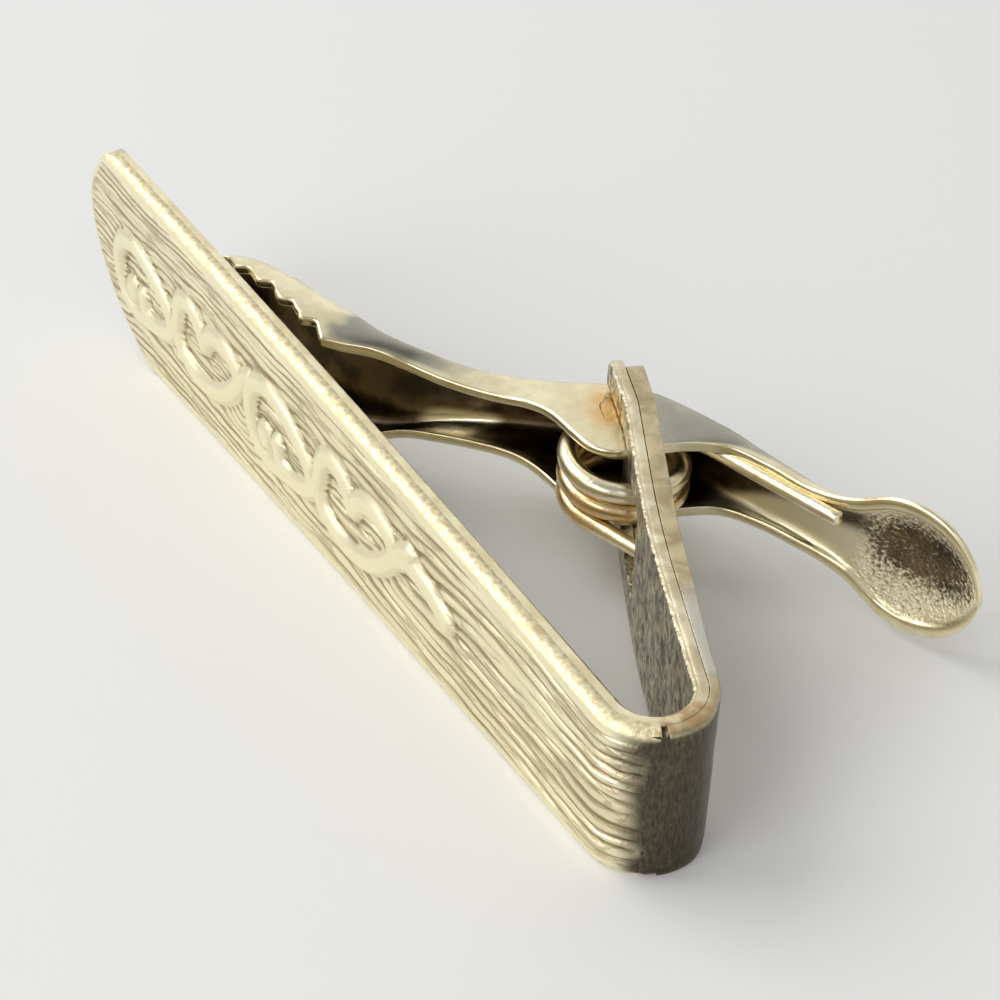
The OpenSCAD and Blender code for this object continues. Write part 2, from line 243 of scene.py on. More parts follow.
# %% Helper that makes a solid sheet
def sheet(name, outer, inner, keep=None, marks=None):
    """A closed sheet between two grids (rows, columns, 3). keep says which cells are metal,
    and a wall stands wherever one of them has no neighbour. o and i are the numbers of the
    outer and the inner points."""
    n, m = outer.shape[:2]
    metal = np.ones((n - 1, m - 1), bool) if keep is None else keep
    o = np.arange(n * m).reshape(n, m)
    i = o + n * m
    cell = np.stack([o[:-1, :-1], o[1:, :-1], o[1:, 1:], o[:-1, 1:]], -1)
    faces = [cell[metal], (cell + n * m)[metal][:, ::-1]]
    ring = np.pad(metal, 1)
    left, right = ring[1:-1, :-1], ring[1:-1, 1:]
    wall = np.stack([o[:-1], o[1:], i[1:], i[:-1]], -1)
    faces += [wall[left & ~right], wall[right & ~left][:, ::-1]]
    above, below = ring[:-1, 1:-1], ring[1:, 1:-1]
    wall = np.stack([o[:, :-1], o[:, 1:], i[:, 1:], i[:, :-1]], -1)
    faces += [wall[below & ~above], wall[above & ~below][:, ::-1]]
    points = np.concatenate([outer.reshape(-1, 3), inner.reshape(-1, 3)])
    return put_mesh(name, points, [f for f in faces if len(f)], marks)


def soften(piece, width, segments=2, angle=50):
    """Rounds the sharp edges of a piece by width, in millimetres."""
    bevel = piece.modifiers.new("rounded edges", "BEVEL")
    bevel.width = width * MM
    bevel.segments = segments
    bevel.limit_method = "ANGLE"
    bevel.angle_limit = math.radians(angle)
    bevel.harden_normals = False


# %% [markdown]
# The rounded end of the bar is a hand-cut line that leans to one side. It is given as steps
# from its tip, up from the low corner, and turned into a start for every height. A boolean cut
# would leave ragged faces, while this keeps the grid whole. The bar's two layers share it.

# %% Rounded end of the bar
tip_x = -plate_length
end_points = [(6.2, -half_at(tip_x + 6.2)), (4.5, -4.75), (3.1, -4), (1.8, -3), (1, -2),
              (0.4, -1), (0, 0), (-0.15, 1.2), (0, 2.4), (0.5, 3.4), (1.3, 4.3),
              (1.85, 4.9), (2.4, 5.2), (3.2, half_at(tip_x + 3.2))]
end_line = along(end_points, 12)
end_share = end_line[:, 1] / half_at(tip_x + end_line[:, 0])
end_order = np.argsort(end_share)


def start_at(share):
    """Where the bar starts, for a height given as a share of its half height."""
    return np.interp(share, end_share[end_order], tip_x + end_line[end_order, 0])


def bar_grid(rows, shares):
    """Lengths and heights over the bar: each column runs from the rounded end to the bend."""
    begin = start_at(shares)[None, :]
    length = begin * (1 - rows[:, None])
    return length, shares[None, :] * half_at(length)


print("the end starts from", start_at([-1, 0, 1]).round(2), "at its low, middle and high edge")

# %% [markdown]
# The front is a stamped relief: smooth rounded stems run in loops over a ground of fine lines
# that look like bark, and a plain bevel runs round the rim. It could be a bump texture, but a
# real height keeps its shadow from every side. So the plate's face is a height over a fine
# grid: the distance to the stems' middle lines gives the stems, and long thin noise the bark.

# %% Stems of the scroll
scroll_repeat = 13.4
scroll_start = -39.7
scroll_relief = 0.25
stem_half_width, boss_half_width = 0.6, 0.85
stem_over = [(0.4, -0.7), (0.4, 0.4), (1, 1.3), (2.2, 1.7), (3.5, 1.4), (4.7, 0.8),
             (5.6, 0.1), (6.1, -0.7)]
stem_under = [(2.9, -0.7), (3.2, -1.5), (4.3, -1.7), (5.5, -1.3), (6.3, -0.6), (6.7, 0.2),
              (6.9, 1), (7.5, 1.6), (8.4, 1.6), (9, 1.1), (9.5, 0.4)]
stem_ring = [(0.4, -0.7), (0.8, -1.6), (1.9, -2.1), (3.2, -1.9), (4.3, -1.7)]
stem_next = [(6.5, -0.6), (7, -1.4), (8.1, -1.9), (9.4, -1.9), (10.7, -1.5), (11.8, -0.8),
             (12.7, 0.1), (13.3, 0.8), (14, 1.3)]
stem_right = [(9.5, 0.4), (10.2, 1.2), (11.3, 1.4), (12.3, 1.2), (12.9, 0.5)]
stem_tail = [(26.2, 0.2), (27.2, 0.8), (28.4, 0.7), (29.4, 0.4), (30.2, 0)]
boss_at = (1.75, -1.0)
stems = [np.array(p) + (scroll_start + k * scroll_repeat, 0) for k in (0, 1)
         for p in (stem_over, stem_under, stem_ring, stem_next, stem_right)]
stems.append(np.array(stem_tail) + (scroll_start, 0))
stem_dots = np.concatenate([along(p, 10) for p in stems])
print("stems of the scroll:", len(stems), "with", len(stem_dots), "points")

# %% Heights of stems and bark
out_of_reach = 9.0
scroll_margin, scroll_end, scroll_half_height = 2, 32, 4
parts_in_turn = 60


def stem_distance(x, h):
    """Distance from each point of the face to the nearest of the dots on the stems' middle
    lines. The points go through in parts, because all of them at once would fill the memory."""
    far = np.full(x.shape, out_of_reach)
    near = ((x > scroll_start - scroll_margin) & (x < scroll_start + scroll_end)
            & (abs(h) < scroll_half_height))
    spots = np.stack([x[near], h[near]], -1)
    best = [np.sqrt(((part[:, None, :] - stem_dots[None]) ** 2).sum(-1).min(1))
            for part in np.array_split(spots, parts_in_turn)]
    far[near] = np.concatenate(best)
    return far


def bark(x, h, reach, pitch, sharp):
    """Fine lines: broad ridges with sharp grooves between them, bent by long noise and led
    round the stems. One at the top of a ridge, zero in a groove."""
    led = h + 0.45 * np.sign(h + 0.2) * bell(reach, 0.9)
    bent = (led + 0.24 * streaks(x / 6.0 + 3, led / 1.6, 5)
            + 0.09 * streaks(x / 1.8, led / 0.7, 8) + 0.035 * streaks(x / 0.7, led / 0.3, 9))
    ridges = np.abs(np.sin(np.pi * bent / pitch)) ** sharp
    ridges = 1 - (1 - ridges) * (0.95 + 0.4 * streaks(x / 3.2, bent / pitch, 14))
    strands = np.clip(0.5 + 0.9 * streaks(x / 2.6, 3 * bent / pitch, 11), 0, 1)
    return np.clip(0.72 * ridges + 0.28 * strands, 0, 1)


# %% Grid of the front plate
plate_t = 0.6
plate_end_angle = math.radians(63)
end_share_fine, rim_share_fine = 0.012, 0.94
plate_rows = np.concatenate([np.linspace(0, end_share_fine, 12)[:-1],
                             np.linspace(end_share_fine, 1, 400)])
plate_shares = np.concatenate([np.linspace(-1, -rim_share_fine, 11)[:-1],
                               np.linspace(-rim_share_fine, rim_share_fine, 195),
                               np.linspace(rim_share_fine, 1, 11)[1:]])
bar_length, bar_height = bar_grid(plate_rows, plate_shares)
bend_rows = np.linspace(0, plate_end_angle * bend_r, 30)[1:, None] + 0 * plate_shares
face_length = np.vstack([bar_length, bend_rows])
face_height = np.vstack([bar_height, 0 * bend_rows + plate_shares * half_at(0)])
pattern_x = np.where(face_length > 0, face_length * (bend_r + strip_t + plate_t) / bend_r,
                     face_length)
reach = stem_distance(pattern_x, face_height)
boss = np.minimum(
    *[np.hypot(pattern_x - scroll_start - k * scroll_repeat - boss_at[0],
               face_height - boss_at[1]) for k in (0, 1)])
rim = np.minimum(half_at(face_length) - abs(face_height),
                 np.maximum(0, face_length - start_at(plate_shares)[None, :]))
print("points on the plate's face:", face_length.shape)


# %% Relief of the front plate
def rounded(distance, width):
    """A soft round ridge: one minus the square of the distance over its half width."""
    return 1 - ramp(distance, 0, width) ** 2


raised = np.maximum(rounded(reach, stem_half_width), rounded(boss, boss_half_width))
ground = 1 - ease(raised, 0.0, 0.35)
loop_middles = [(1.9, 0.2), (8.6, -0.3), (15.3, 0.2), (22.0, -0.3)]
hollow = sum(bell(pattern_x - scroll_start - x, 1.5) * bell(face_height - h, 1.0)
             for x, h in loop_middles)
moat_from_stem, moat_from_boss, moat_half_width, moat_depth = 0.68, 0.93, 0.16, 0.1
moat = (bell(np.minimum(reach - moat_from_stem, boss - moat_from_boss), moat_half_width)
        * (0.3 + 0.7 * hollow))
fade = ease(rim, 0.4, 0.65) * (1 - ease(face_length, 0.75 * bend_r, 1.05 * bend_r))
coarse = ease(pattern_x + 5 * streaks(pattern_x / 6, face_height / 1.2, 23), -24, -12)
fine_lines = bark(pattern_x, face_height, reach, 0.38, 0.6)
lines = fine_lines + (bark(pattern_x, face_height, reach, 0.52, 0.8) - fine_lines) * coarse
edge_r, bevel_width, bevel_depth = 0.27, 0.6, 0.13
bevel_drop = bevel_depth * (1 - ramp(rim, 0, bevel_width)) ** 1.5 + quarter_round(rim, edge_r)
bark_depth = 0.08 + 0.04 * coarse
ground_level = plate_t - 0.03
ridge_share = 0.8
relief = (ground_level + scroll_relief * raised
          + ground * fade * (bark_depth * (lines - ridge_share) - moat_depth * moat)
          - bevel_drop)
plate_back = -0.11
outer = wrap(face_length, strip_t + relief, face_height)
inner = wrap(face_length, strip_t + plate_back, face_height)
# Painted shade on the stems' flanks, so that they stand out.
flank_shade = 4 * raised * (1 - raised) * (1 - ease(raised, 0.6, 0.95))
# The groove mark is painted shade: darker in the bark's grooves, beside the stems in the loops
# and on the stems' flanks.
groove = (np.clip((1 - lines) * 1.3 + 0.6 * moat, 0, 1) * ground + 0.12 * flank_shade) * fade
rim_mark = 1 - ease(rim, 0.08, 0.34)
# The bend's dark colour is painted shade; this marks where it lies on the plate.
on_bend = ease(face_length + 0.25 * streaks(face_height * 1.4, face_length * 1.5, 17),
               0.42 * bend_r, 0.95 * bend_r)
print("relief from", relief.min().round(3), "to", relief.max().round(3), "mm")

# %% [markdown]
# The plate's back is soldered to the strip and never seen, so it needs no fine grid. It keeps
# the rim's points, and long faces cross from one edge to the other.


# %% Close the plate with a plain back
def relief_plate(name, outer, inner, marks):
    """A fine face with walls down to the back's rim, and a back of faces across the plate."""
    n, m = outer.shape[:2]
    o = np.arange(n * m).reshape(n, m)
    i = o + n * m
    cell = np.stack([o[:-1, :-1], o[1:, :-1], o[1:, 1:], o[:-1, 1:]], -1).reshape(-1, 4)
    low = np.stack([o[1:, 0], o[:-1, 0], i[:-1, 0], i[1:, 0]], -1)
    high = np.stack([o[:-1, -1], o[1:, -1], i[1:, -1], i[:-1, -1]], -1)
    first = np.stack([o[0, :-1], o[0, 1:], i[0, 1:], i[0, :-1]], -1)
    last = np.stack([o[-1, 1:], o[-1, :-1], i[-1, :-1], i[-1, 1:]], -1)
    across = np.stack([i[1:-2, 0], i[1:-2, -1], i[2:-1, -1], i[2:-1, 0]], -1)
    near = np.concatenate([i[0], [i[1, -1], i[1, 0]]])[None]
    end = np.concatenate([i[-1, ::-1], [i[-2, 0], i[-2, -1]]])[None]
    points = np.concatenate([outer.reshape(-1, 3), inner.reshape(-1, 3)])
    return put_mesh(name, points, [cell, low, high, first, last, across, near, end], marks)


def on_faces(outer_mark, inner_mark=None):
    """A mark's values on a sheet's outer and inner face, each an array or a number. The inner
    face gets the same as the outer if nothing is given for it."""
    inner_mark = outer_mark if inner_mark is None else inner_mark
    return np.concatenate([m.ravel() for m in np.broadcast_arrays(outer_mark, inner_mark)])


front_bar = relief_plate("front_bar", outer, inner,
                         {"groove": on_faces(groove, 0), "ground": on_faces(ground * fade, 0),
                          "edge": on_faces(rim_mark, 1), "bend": on_faces(on_bend),
                          "flank_shade": on_faces(flank_shade * fade, 0)})
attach(front_bar, "clip_frame")
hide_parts("front_plate")

# %% [markdown]
# Behind the plate lies the inner strip. It goes round the bend and becomes the leg, whose end
# is cut into a fork. Its worn inner face is crinkled from being bent. The fork's slot is left
# out of the grid's cells, with a column of points along each edge, so no boolean cut is needed.

# %% Columns and rows of the inner strip
slot_height = 4.2
slot_depth = 8.8
slot_share = slot_height / bend_height
half_shares = np.array([slot_share, 0.66, 0.72, 0.78, 0.84, 0.9, 0.96, 1])
shares = np.concatenate([-half_shares[::-1], np.linspace(-slot_share, slot_share, 21)[1:-1],
                         half_shares])
strip_rows = np.linspace(0, 1, 130)
strip_bar_length, strip_bar_height = bar_grid(strip_rows, shares)
slot_from = bend_length + leg_length - slot_depth
fold_rows = np.concatenate([np.linspace(0, bend_length, 50)[1:],
                            np.linspace(bend_length, slot_from, 60)[1:],
                            np.linspace(slot_from, bend_length + leg_length, 50)[1:]])
strip_length = np.vstack([strip_bar_length, fold_rows[:, None] + 0 * shares])
print("points on a face of the inner strip:", strip_length.shape)

# %% Fork and dents
corner_r, corner_loss = 0.55, 0.8


def leg_height(length, end, shares):
    """Heights of the columns on the leg, with the fork's corners rounded off at its end."""
    lost = corner_loss * quarter_round(end - length, corner_r)
    return np.sign(shares) * (abs(shares) * bend_height / 2
                              - ramp(abs(shares), slot_share, 1) * lost)


def in_slot(length, shares):
    """Which cells of a strip's grid lie in the fork's slot."""
    return ((length[:-1, :-1] > slot_from - 0.001)
            & (abs(shares[:-1] + shares[1:]) < 2 * slot_share))


def crinkle(length, z, seed):
    """Small dents of a bent and worn sheet, in millimetres."""
    return (0.035 * streaks(length / 1.1, z / 0.8, seed)
            + 0.02 * streaks(length / 0.4, z / 0.35, seed + 1))


def last_column(length, shares):
    """One on the columns that lie on the rim and zero on the others."""
    return (abs(shares) > 0.99) + 0 * length


def calm(shares):
    """One over the middle of a strip, fading to zero before its rim."""
    return 1 - ease(abs(shares), 0.72, 0.96)


print("cells cut out for the fork:", in_slot(strip_length, shares).sum())

# %% Inner strip
tucked = 1 - 0.012 / bend_height
strip_height = tucked * np.vstack([
    strip_bar_height, leg_height(fold_rows[:, None], bend_length + leg_length, shares)])
on_leg = ease(strip_length, 0.5 * bend_length, bend_length)
on_edge = last_column(strip_length, shares)
rim_chamfer = 0.15
dents = crinkle(strip_length, strip_height, 21) * on_leg * calm(shares) + rim_chamfer * on_edge
scorched_from, scorched_to = 2.0 * bend_r, 2.3 * bend_r
stain = (ease(strip_length, 1.0 * bend_r, 1.2 * bend_r) * on_edge
         * (1 - ease(strip_length, scorched_from, scorched_to)))
# The inside mark places the painted shade on the leg's inner face.
inner_strip = sheet("inner_strip", wrap(strip_length, strip_t, strip_height),
                    wrap(strip_length, dents, strip_height), ~in_slot(strip_length, shares),
                    {"inside": on_faces(0, 1 - on_edge), "stain": on_faces(stain),
                     "leg": on_faces(on_leg), "edge": on_faces(on_edge)})
soften(inner_strip, 0.045)
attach(inner_strip, "clip_frame")
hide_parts("spine_strip")

# %% [markdown]
# The outer strip is a second layer on the leg. It starts in the seam on the bend, where it is
# stretched thin, and stops a little before the fork's end. The two layers have sprung apart
# towards the fork. Two sheets with a true gap show that as a dark line from every side, which
# a painted line would not.

# %% Thickness of the outer strip
back_t = 0.56
back_thin_t = 0.41
layer_step = 0.5
back_start = math.radians(69) * bend_r
back_end = bend_length + leg_length - layer_step
back_rows = np.concatenate([np.linspace(back_start, bend_length, 40)[:-1],
                            np.linspace(bend_length, slot_from, 60)[:-1],
                            np.linspace(slot_from, back_end, 45)])
back_shares = np.sort(np.concatenate([shares, [-0.985, -0.97, 0.97, 0.985]]))
back_length = back_rows[:, None] + 0 * back_shares
back_z = leg_height(back_length, back_end, back_shares)
past_bend = back_length - bend_length
gap_at_end = 0.1
gap = layer_gap * ramp(past_bend, 3, 10) + gap_at_end * ramp(past_bend, tail_from, leg_length)
thinned = back_thin_t - back_t
thin_on_bend = back_t + thinned * ramp(np.degrees(back_length / bend_r), 105, 130)
thick = np.where(past_bend > 0, back_thin_t - thinned * ramp(past_bend, 1.5, 5), thin_on_bend)
back_edge_r = 0.22
rounded_share = 1 - 0.8 * ease(past_bend, -1.2, 0.6)
from_rim = (1 - abs(back_shares)) * bend_height / 2
thick -= quarter_round(from_rim, back_edge_r) * rounded_share
print("thickness from", thick.min().round(2), "to", thick.max().round(2), "mm")

# %% Outer strip
back_dents = 0.7 * crinkle(back_length, back_z, 31) * calm(back_shares)
back_edge = last_column(back_length, back_shares)
back_stain = (1 - ease(back_length, scorched_from, scorched_to)) * back_edge
silver = back_edge * ease(past_bend, -0.3, 0.8) * (1 - ease(past_bend, 3.5, 5.5))
# Where the outer strip's bend is painted dark as shade.
back_bend_shade = ((1 - ease(back_length, 2.0 * bend_r, 3.4 * bend_r))
             * ease(from_rim, 0.03, 0.16))
outer_strip = sheet("outer_strip",
                    wrap(back_length, strip_t + gap + thick - abs(back_dents), back_z),
                    wrap(back_length, strip_t + 0.1 * gap + 0.002, back_z),
                    ~in_slot(back_length, back_shares),
                    {"stain": on_faces(back_stain), "edge": on_faces(back_edge),
                     "bend": on_faces(back_bend_shade), "silver": on_faces(silver)})
soften(outer_strip, 0.03)
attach(outer_strip, "clip_frame")
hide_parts("back_strip")

# %% [markdown]
# The plate and the outer strip meet on the bend in a seam that was run full of solder. The
# bead sags a little below both, and its surface is lumpy. It is a small sheet of its own that
# laps over both ends, because metal that has flowed belongs to neither.

# %% Solder in the seam
plate_end, lap = plate_end_angle * bend_r, 0.22
notch_depth, notch_half_width = 0.12, 0.1
seam_rows = np.linspace(plate_end - lap, back_start + lap, 25)
seam_shares = np.linspace(-1, 1, 81)
seam_length = seam_rows[:, None] + 0 * seam_shares
from_seam = abs(seam_rows - (plate_end + back_start) / 2)
notch = notch_depth * (1 - ramp(from_seam, 0, notch_half_width))
seam_z = seam_shares * (bend_height / 2 - 0.03 - notch[:, None])
rim_drop = np.interp(abs(seam_z) - bend_height / 2, [-0.6, -0.27, -0.1, 0], [0, 0.05, 0.14, 0.4])
flow = ease(seam_rows, plate_end - 0.1, back_start + lap)
feather = np.minimum(1, 8 * np.minimum(seam_rows - seam_rows[0], seam_rows[-1] - seam_rows))
level = ground_level + (back_t - ground_level) * flow - 0.008 + 0.016 * feather
lumps = 0.012 * feather[:, None] * streaks(seam_z * 1.3, seam_length * 3, 41)
sag = level[:, None] + lumps - rim_drop
# The whole bead is marked for the bend's painted shade.
solder = sheet("solder_bead", wrap(seam_length, strip_t + sag, seam_z),
               wrap(seam_length, strip_t - 0.02, seam_z), None,
               {"bend": np.ones(2 * seam_z.size)})
soften(solder, 0.04)
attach(solder, "clip_frame")
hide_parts("bend_solder")

# %% [markdown]
# The pin is turned from thin rod, with a small chamfer at each end. A cylinder with a Bevel
# would do, but a profile carried round a circle is how a lathe makes it, and the coil spring
# needs the same rings of points.


# %% Helpers for round pieces
def ring_walls(rings, sides):
    """Numbers of the points in rings of so many sides, the same a side further on, and the
    faces between neighbouring rings."""
    o = np.arange(rings * sides).reshape(rings, sides)
    after = np.roll(o, -1, 1)
    return o, after, np.stack([o[:-1], after[:-1], after[1:], o[1:]], -1).reshape(-1, 4)


def lathe(name, radius, height, sides=48):
    """A turned solid on the pivot's axis: radii at heights, with a point at each end."""
    angle = np.linspace(0, 2 * np.pi, sides, endpoint=False)
    ring = np.stack([np.cos(angle), np.sin(angle)], -1)
    xy = np.array(radius)[:, None, None] * ring
    z = np.array(height)[:, None, None] + np.zeros((1, sides, 1))
    points = np.concatenate([xy, z], -1) + pivot * (1, 1, 0)
    ends = np.array([[pivot[0], pivot[1], height[0]], [pivot[0], pivot[1], height[-1]]])
    o, after, wall = ring_walls(len(points), sides)
    top, bottom = o.size + 1, o.size
    caps = np.concatenate([np.stack([after[0], o[0], o[0] * 0 + bottom], -1),
                           np.stack([o[-1], after[-1], o[0] * 0 + top], -1)])
    return put_mesh(name, np.concatenate([points.reshape(-1, 3), ends]), [wall, caps])


# %% Pivot pin
pin_r = 0.4
pin_length = 5.8
chamfer_radii = np.array([0.3, 0.37, pin_r])
chamfer_depths = np.array([0, 0.03, 0.12])
chamfer_heights = chamfer_depths - pin_length / 2
pin = lathe("pivot_rod", np.concatenate([chamfer_radii, [pin_r], chamfer_radii[::-1]]),
            np.concatenate([chamfer_heights, [0], -chamfer_heights[::-1]]))
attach(pin, "clip_frame")
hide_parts("pivot_pin")

# %% [markdown]
# The lever is one stamped sheet: a toothed scoop, a narrow channel with cheeks that hold the
# pin, a bent neck and a round thumb spoon. It could be a cage under a Subdivision Surface, but
# sections that are measured one by one are easier to set right. Each row below is a section,
# with its back point, its front edge, its half width and how round it is. A smooth curve
# through the rows gives hundreds of them.

# %% Sections of the lever
lever_t = 0.35
spoon_at = np.array([-3.2, 14.5])
spoon_turn = math.radians(18)
spoon_along = np.array([math.cos(spoon_turn), math.sin(spoon_turn)])
spoon_back = np.array([-math.sin(spoon_turn), math.cos(spoon_turn)])
spoon_r = 3.15
spoon_depth = 0.9


def spoon_row(s):
    """A section of the round dish at a share s of its radius."""
    rise = math.sqrt(max(0, 1 - s * s))
    front = spoon_at + spoon_along * spoon_r * s
    back = front + spoon_back * (lever_t + spoon_depth * rise * rise)
    return (*back, *front, spoon_r * rise, 1)


lever_rows = [
    (-34.3, -1.05, -34.1, -1.5, 1.2, 0.8), (-33.8, -0.5, -33.8, -1.45, 2.1, 0.7),
    (-33, 0.1, -33.1, -1.35, 2.8, 0.65), (-32, 0.95, -32.2, -1.2, 3.25, 0.6),
    (-31, 1.5, -31.2, -1.05, 3.4, 0.6), (-29.4, 2, -29.6, -0.8, 3.5, 0.6),
    (-27.6, 2.55, -27.9, -0.55, 3.42, 0.6), (-26, 3.1, -26.3, -0.25, 3.3, 0.6),
    (-24.6, 3.65, -25, 0, 3.02, 0.6), (-23.6, 4.2, -24.3, 0.8, 2.75, 0.6),
    (-22.7, 4.85, -23.6, 2, 2.4, 0.6), (-21.8, 5.6, -22.7, 2.95, 2.02, 0.55),
    (-20.9, 6.5, -21.3, 3.9, 1.75, 0.5), (-19.9, 7.7, -20, 4.85, 1.62, 0.45),
    (-18.9, 8.85, -19, 5.6, 1.62, 0.4), (-17.9, 9.9, -18, 6.2, 1.76, 0.3),
    (-16.8, 10.8, -16.8, 6.5, 1.93, 0.25), (-15.4, 11.65, -15.3, 6.55, 1.97, 0.22),
    (-14, 12.15, -14, 6.65, 1.97, 0.22), (-12.8, 12.5, -13.1, 7.3, 1.97, 0.22),
    (-12, 12.7, -12.65, 8.6, 1.97, 0.25), (-11.3, 12.85, -12.2, 10.1, 1.93, 0.3),
    (-10.5, 13.05, -11.3, 11.5, 1.82, 0.4), (-9.4, 13.35, -9.7, 12.3, 1.72, 0.5),
    (-8, 13.75, -8.1, 12.75, 1.65, 0.6), (-6.9, 14.05, -6.8, 13.2, 1.75, 0.75),
    (-6, 14.4, -5.7, 13.65, 2.1, 0.9)]
spoon_steps = [-0.55, -0.4, -0.25, -0.1, 0.05, 0.2, 0.35, 0.5, 0.62, 0.73, 0.82, 0.89, 0.94,
               0.975, 0.992]
sections = along(lever_rows + [spoon_row(s) for s in spoon_steps], 14)
print("sections of the lever:", len(sections))

# %% [markdown]
# The teeth are a saw line that cuts the scoop's two front edges, blunted by use. A section
# that starts below the saw line is shortened to it, so the teeth follow the curved sheet,
# which single tooth blocks set on its edge would not.

# %% Saw line of the teeth
tooth_first = np.array([-32.6, -1.1])
tooth_last = np.array([-24.6, 0.1])
teeth = 6
tooth_rake = np.array([0.3, 0.56])
tips = tooth_first + np.linspace(0, 1, teeth)[:, None] * (tooth_last - tooth_first)
saw = np.stack([tips, tips + tooth_rake], 1).reshape(-1, 2)
no_cut = -9
saw = np.vstack([[-34.7, -0.6], [-34.6, -0.6], saw, [-24.2, no_cut]])
saw_step, worn_over = 0.02, 0.14
saw_x = np.arange(-34.7, -24.25, saw_step)
worn_saw = np.interp(saw_x, saw[:, 0], saw[:, 1]) + 0.09 * streaks(saw_x / 0.45, 0 * saw_x, 51)
reach_steps = 12
soft = bell(np.arange(-reach_steps, reach_steps + 1) * saw_step, worn_over)
worn_saw = np.convolve(np.pad(worn_saw, reach_steps, mode="edge"), soft / soft.sum(), "valid")
print("teeth:", teeth, "over", round(float(tips[-1, 0] - tips[0, 0]), 1), "mm")

# %% Sections cut to the saw line
back, front = sections[:, 0:2], sections[:, 2:4]
cut = np.zeros(len(sections))
rounds = 6
# A cut moves the point where the saw line is looked up, so it settles in a few rounds.
for _ in range(rounds):
    here = front + cut[:, None] * (back - front)
    saw_here = np.interp(here[:, 0], saw_x, worn_saw, left=no_cut, right=no_cut)
    cut = np.clip((saw_here - front[:, 1]) / (back - front)[:, 1], 0, 0.9)
print("deepest cut into a section:", cut.max().round(3))

# %% [markdown]
# The sheet's outer skin and its lining are the same arch over each section, the lining inset
# by the thickness. A Solidify modifier would fold over itself in the tight neck, so both faces
# are worked out. Points lie close together near the rim, where the edge is rounded later, and
# evenly over the rest.

# %% Arch over a section
rim_steps = np.array([0, 0.01, 0.036, 0.08, 0.14])
beside_rim, short_row = 0.09, 0.8


def arch(sections, inset, columns, cut, lip=0.0):
    """Points over every section: a superellipse from one front edge over the back to the
    other, inset by the sheet's thickness and sideways by a lip, cut short at its feet and
    spaced evenly."""
    back, front, width, square = (sections[:, 0:2], sections[:, 2:4], sections[:, 4],
                                  sections[:, 5:6])
    depth = np.linalg.norm(back - front, axis=1)
    deep = np.maximum(0.02, depth - inset)[:, None]
    wide = np.maximum(0.04, width - inset - lip)[:, None]
    least = np.clip(cut[:, None] * depth[:, None] / deep, 0, 0.98)
    foot = np.arcsin(least ** (1 / square))
    t = foot + (np.pi - 2 * foot) * ease(np.linspace(0, 1, 161), 0, 1)
    across = wide * np.sign(np.cos(t)) * np.abs(np.cos(t)) ** square
    rise = deep * np.clip(np.sin(t), 0, 1) ** square
    walk = np.cumsum(np.hypot(np.diff(across, axis=1, prepend=across[:, :1]),
                              np.diff(rise, axis=1, prepend=rise[:, :1])), axis=1)
    whole = walk[:, -1:]
    near_foot = rim_steps * np.minimum(1, whole / short_row)
    between = near_foot[:, -1:] + beside_rim * np.minimum(1, whole / short_row)
    spread = between + np.linspace(0, 1, columns - 2 * len(rim_steps)) * (whole - 2 * between)
    at = np.hstack([near_foot, spread, whole - near_foot[:, ::-1]])
    across = np.stack([np.interp(a, w, v) for a, w, v in zip(at, walk, across)])
    rise = np.stack([np.interp(a, w, v) for a, w, v in zip(at, walk, rise)])
    towards = (back - front) / depth[:, None]
    plan = front[:, None, :] + rise[..., None] * towards[:, None, :]
    return np.concatenate([plan, across[..., None]], -1)


# %% Skin and lining of the lever
lever_columns = 51
lip = 0.1 + 0.15 * ease(sections[:, 0], -8.0, -5.0)
skin = arch(sections, 0, lever_columns, cut)
lining = arch(sections, lever_t, lever_columns, cut, lip)
section_x, half_width = sections[:, 0:1], sections[:, 4:5]


def foot_distance(grid):
    """Distance of each point of a grid from the nearer of its row's two ends."""
    return np.minimum(np.linalg.norm(grid - grid[:, :1], axis=2),
                      np.linalg.norm(grid - grid[:, -1:], axis=2))


def between(value, start, full, less, end):
    """A soft window: rises from start to full, and falls again from less to end."""
    return ease(value, start, full) * (1 - ease(value, less, end))


print("points on a face of the lever:", skin.shape[:2])

# %% [markdown]
# The lever's hollow side is painted with shade and light. The channel is painted nearly black as
# shade, the lower wall is painted bright as light but kept dull, with a painted highlight in the
# channel, and the dish of the spoon is painted dark in its middle as shade. A painted picture
# would need the sheet laid out flat. Marks on the points do without: each is a share from zero
# to one, worked out from the place of a point, which the finish reads later.

# %% Where the lever's lining gets painted shade, painted light or satin
inside = ease(foot_distance(lining), 0.12, 0.6)
in_spoon = ease(section_x, -6.3, -4.9)
in_neck = ease(section_x, -12, -8)
side = lining[..., 2] / half_width
spoon_u = (lining[..., :2] - spoon_at) @ spoon_along / spoon_r
spoon_v = lining[..., 2] / spoon_r
# Painted shade in the middle of the spoon's dish.
spoon_shade = (np.clip(1.5 * bell(spoon_u - 0.05, 0.75) * bell(spoon_v - 0.1, 0.42), 0, 1)
              * ease(foot_distance(lining), 0.3, 1.0))
# The lower wall gets painted light, and is made satin.
low_wall = (1 - ease(side - 0.75 * in_neck, -0.85, -0.3)) * ease(section_x, -13, -11)
# A painted highlight on the channel's lower side.
painted_highlight = bell(side + 0.58, 0.2) * between(lining[..., 0], -23.6, -22.4, -21.0, -20.0)
satin = inside * np.clip(low_wall + in_spoon * (1 - ease(spoon_v, -0.35, 0.1)), 0, 1)
painted_light_inside = np.clip(0.9 * low_wall + painted_highlight, 0, 0.95)
# Painted shade inside, less where the painted light lies.
shade_inside = inside * ((1 - painted_light_inside) * (1 - in_spoon) + spoon_shade * in_spoon)
print("dark share of the lining:", shade_inside.mean().round(3))
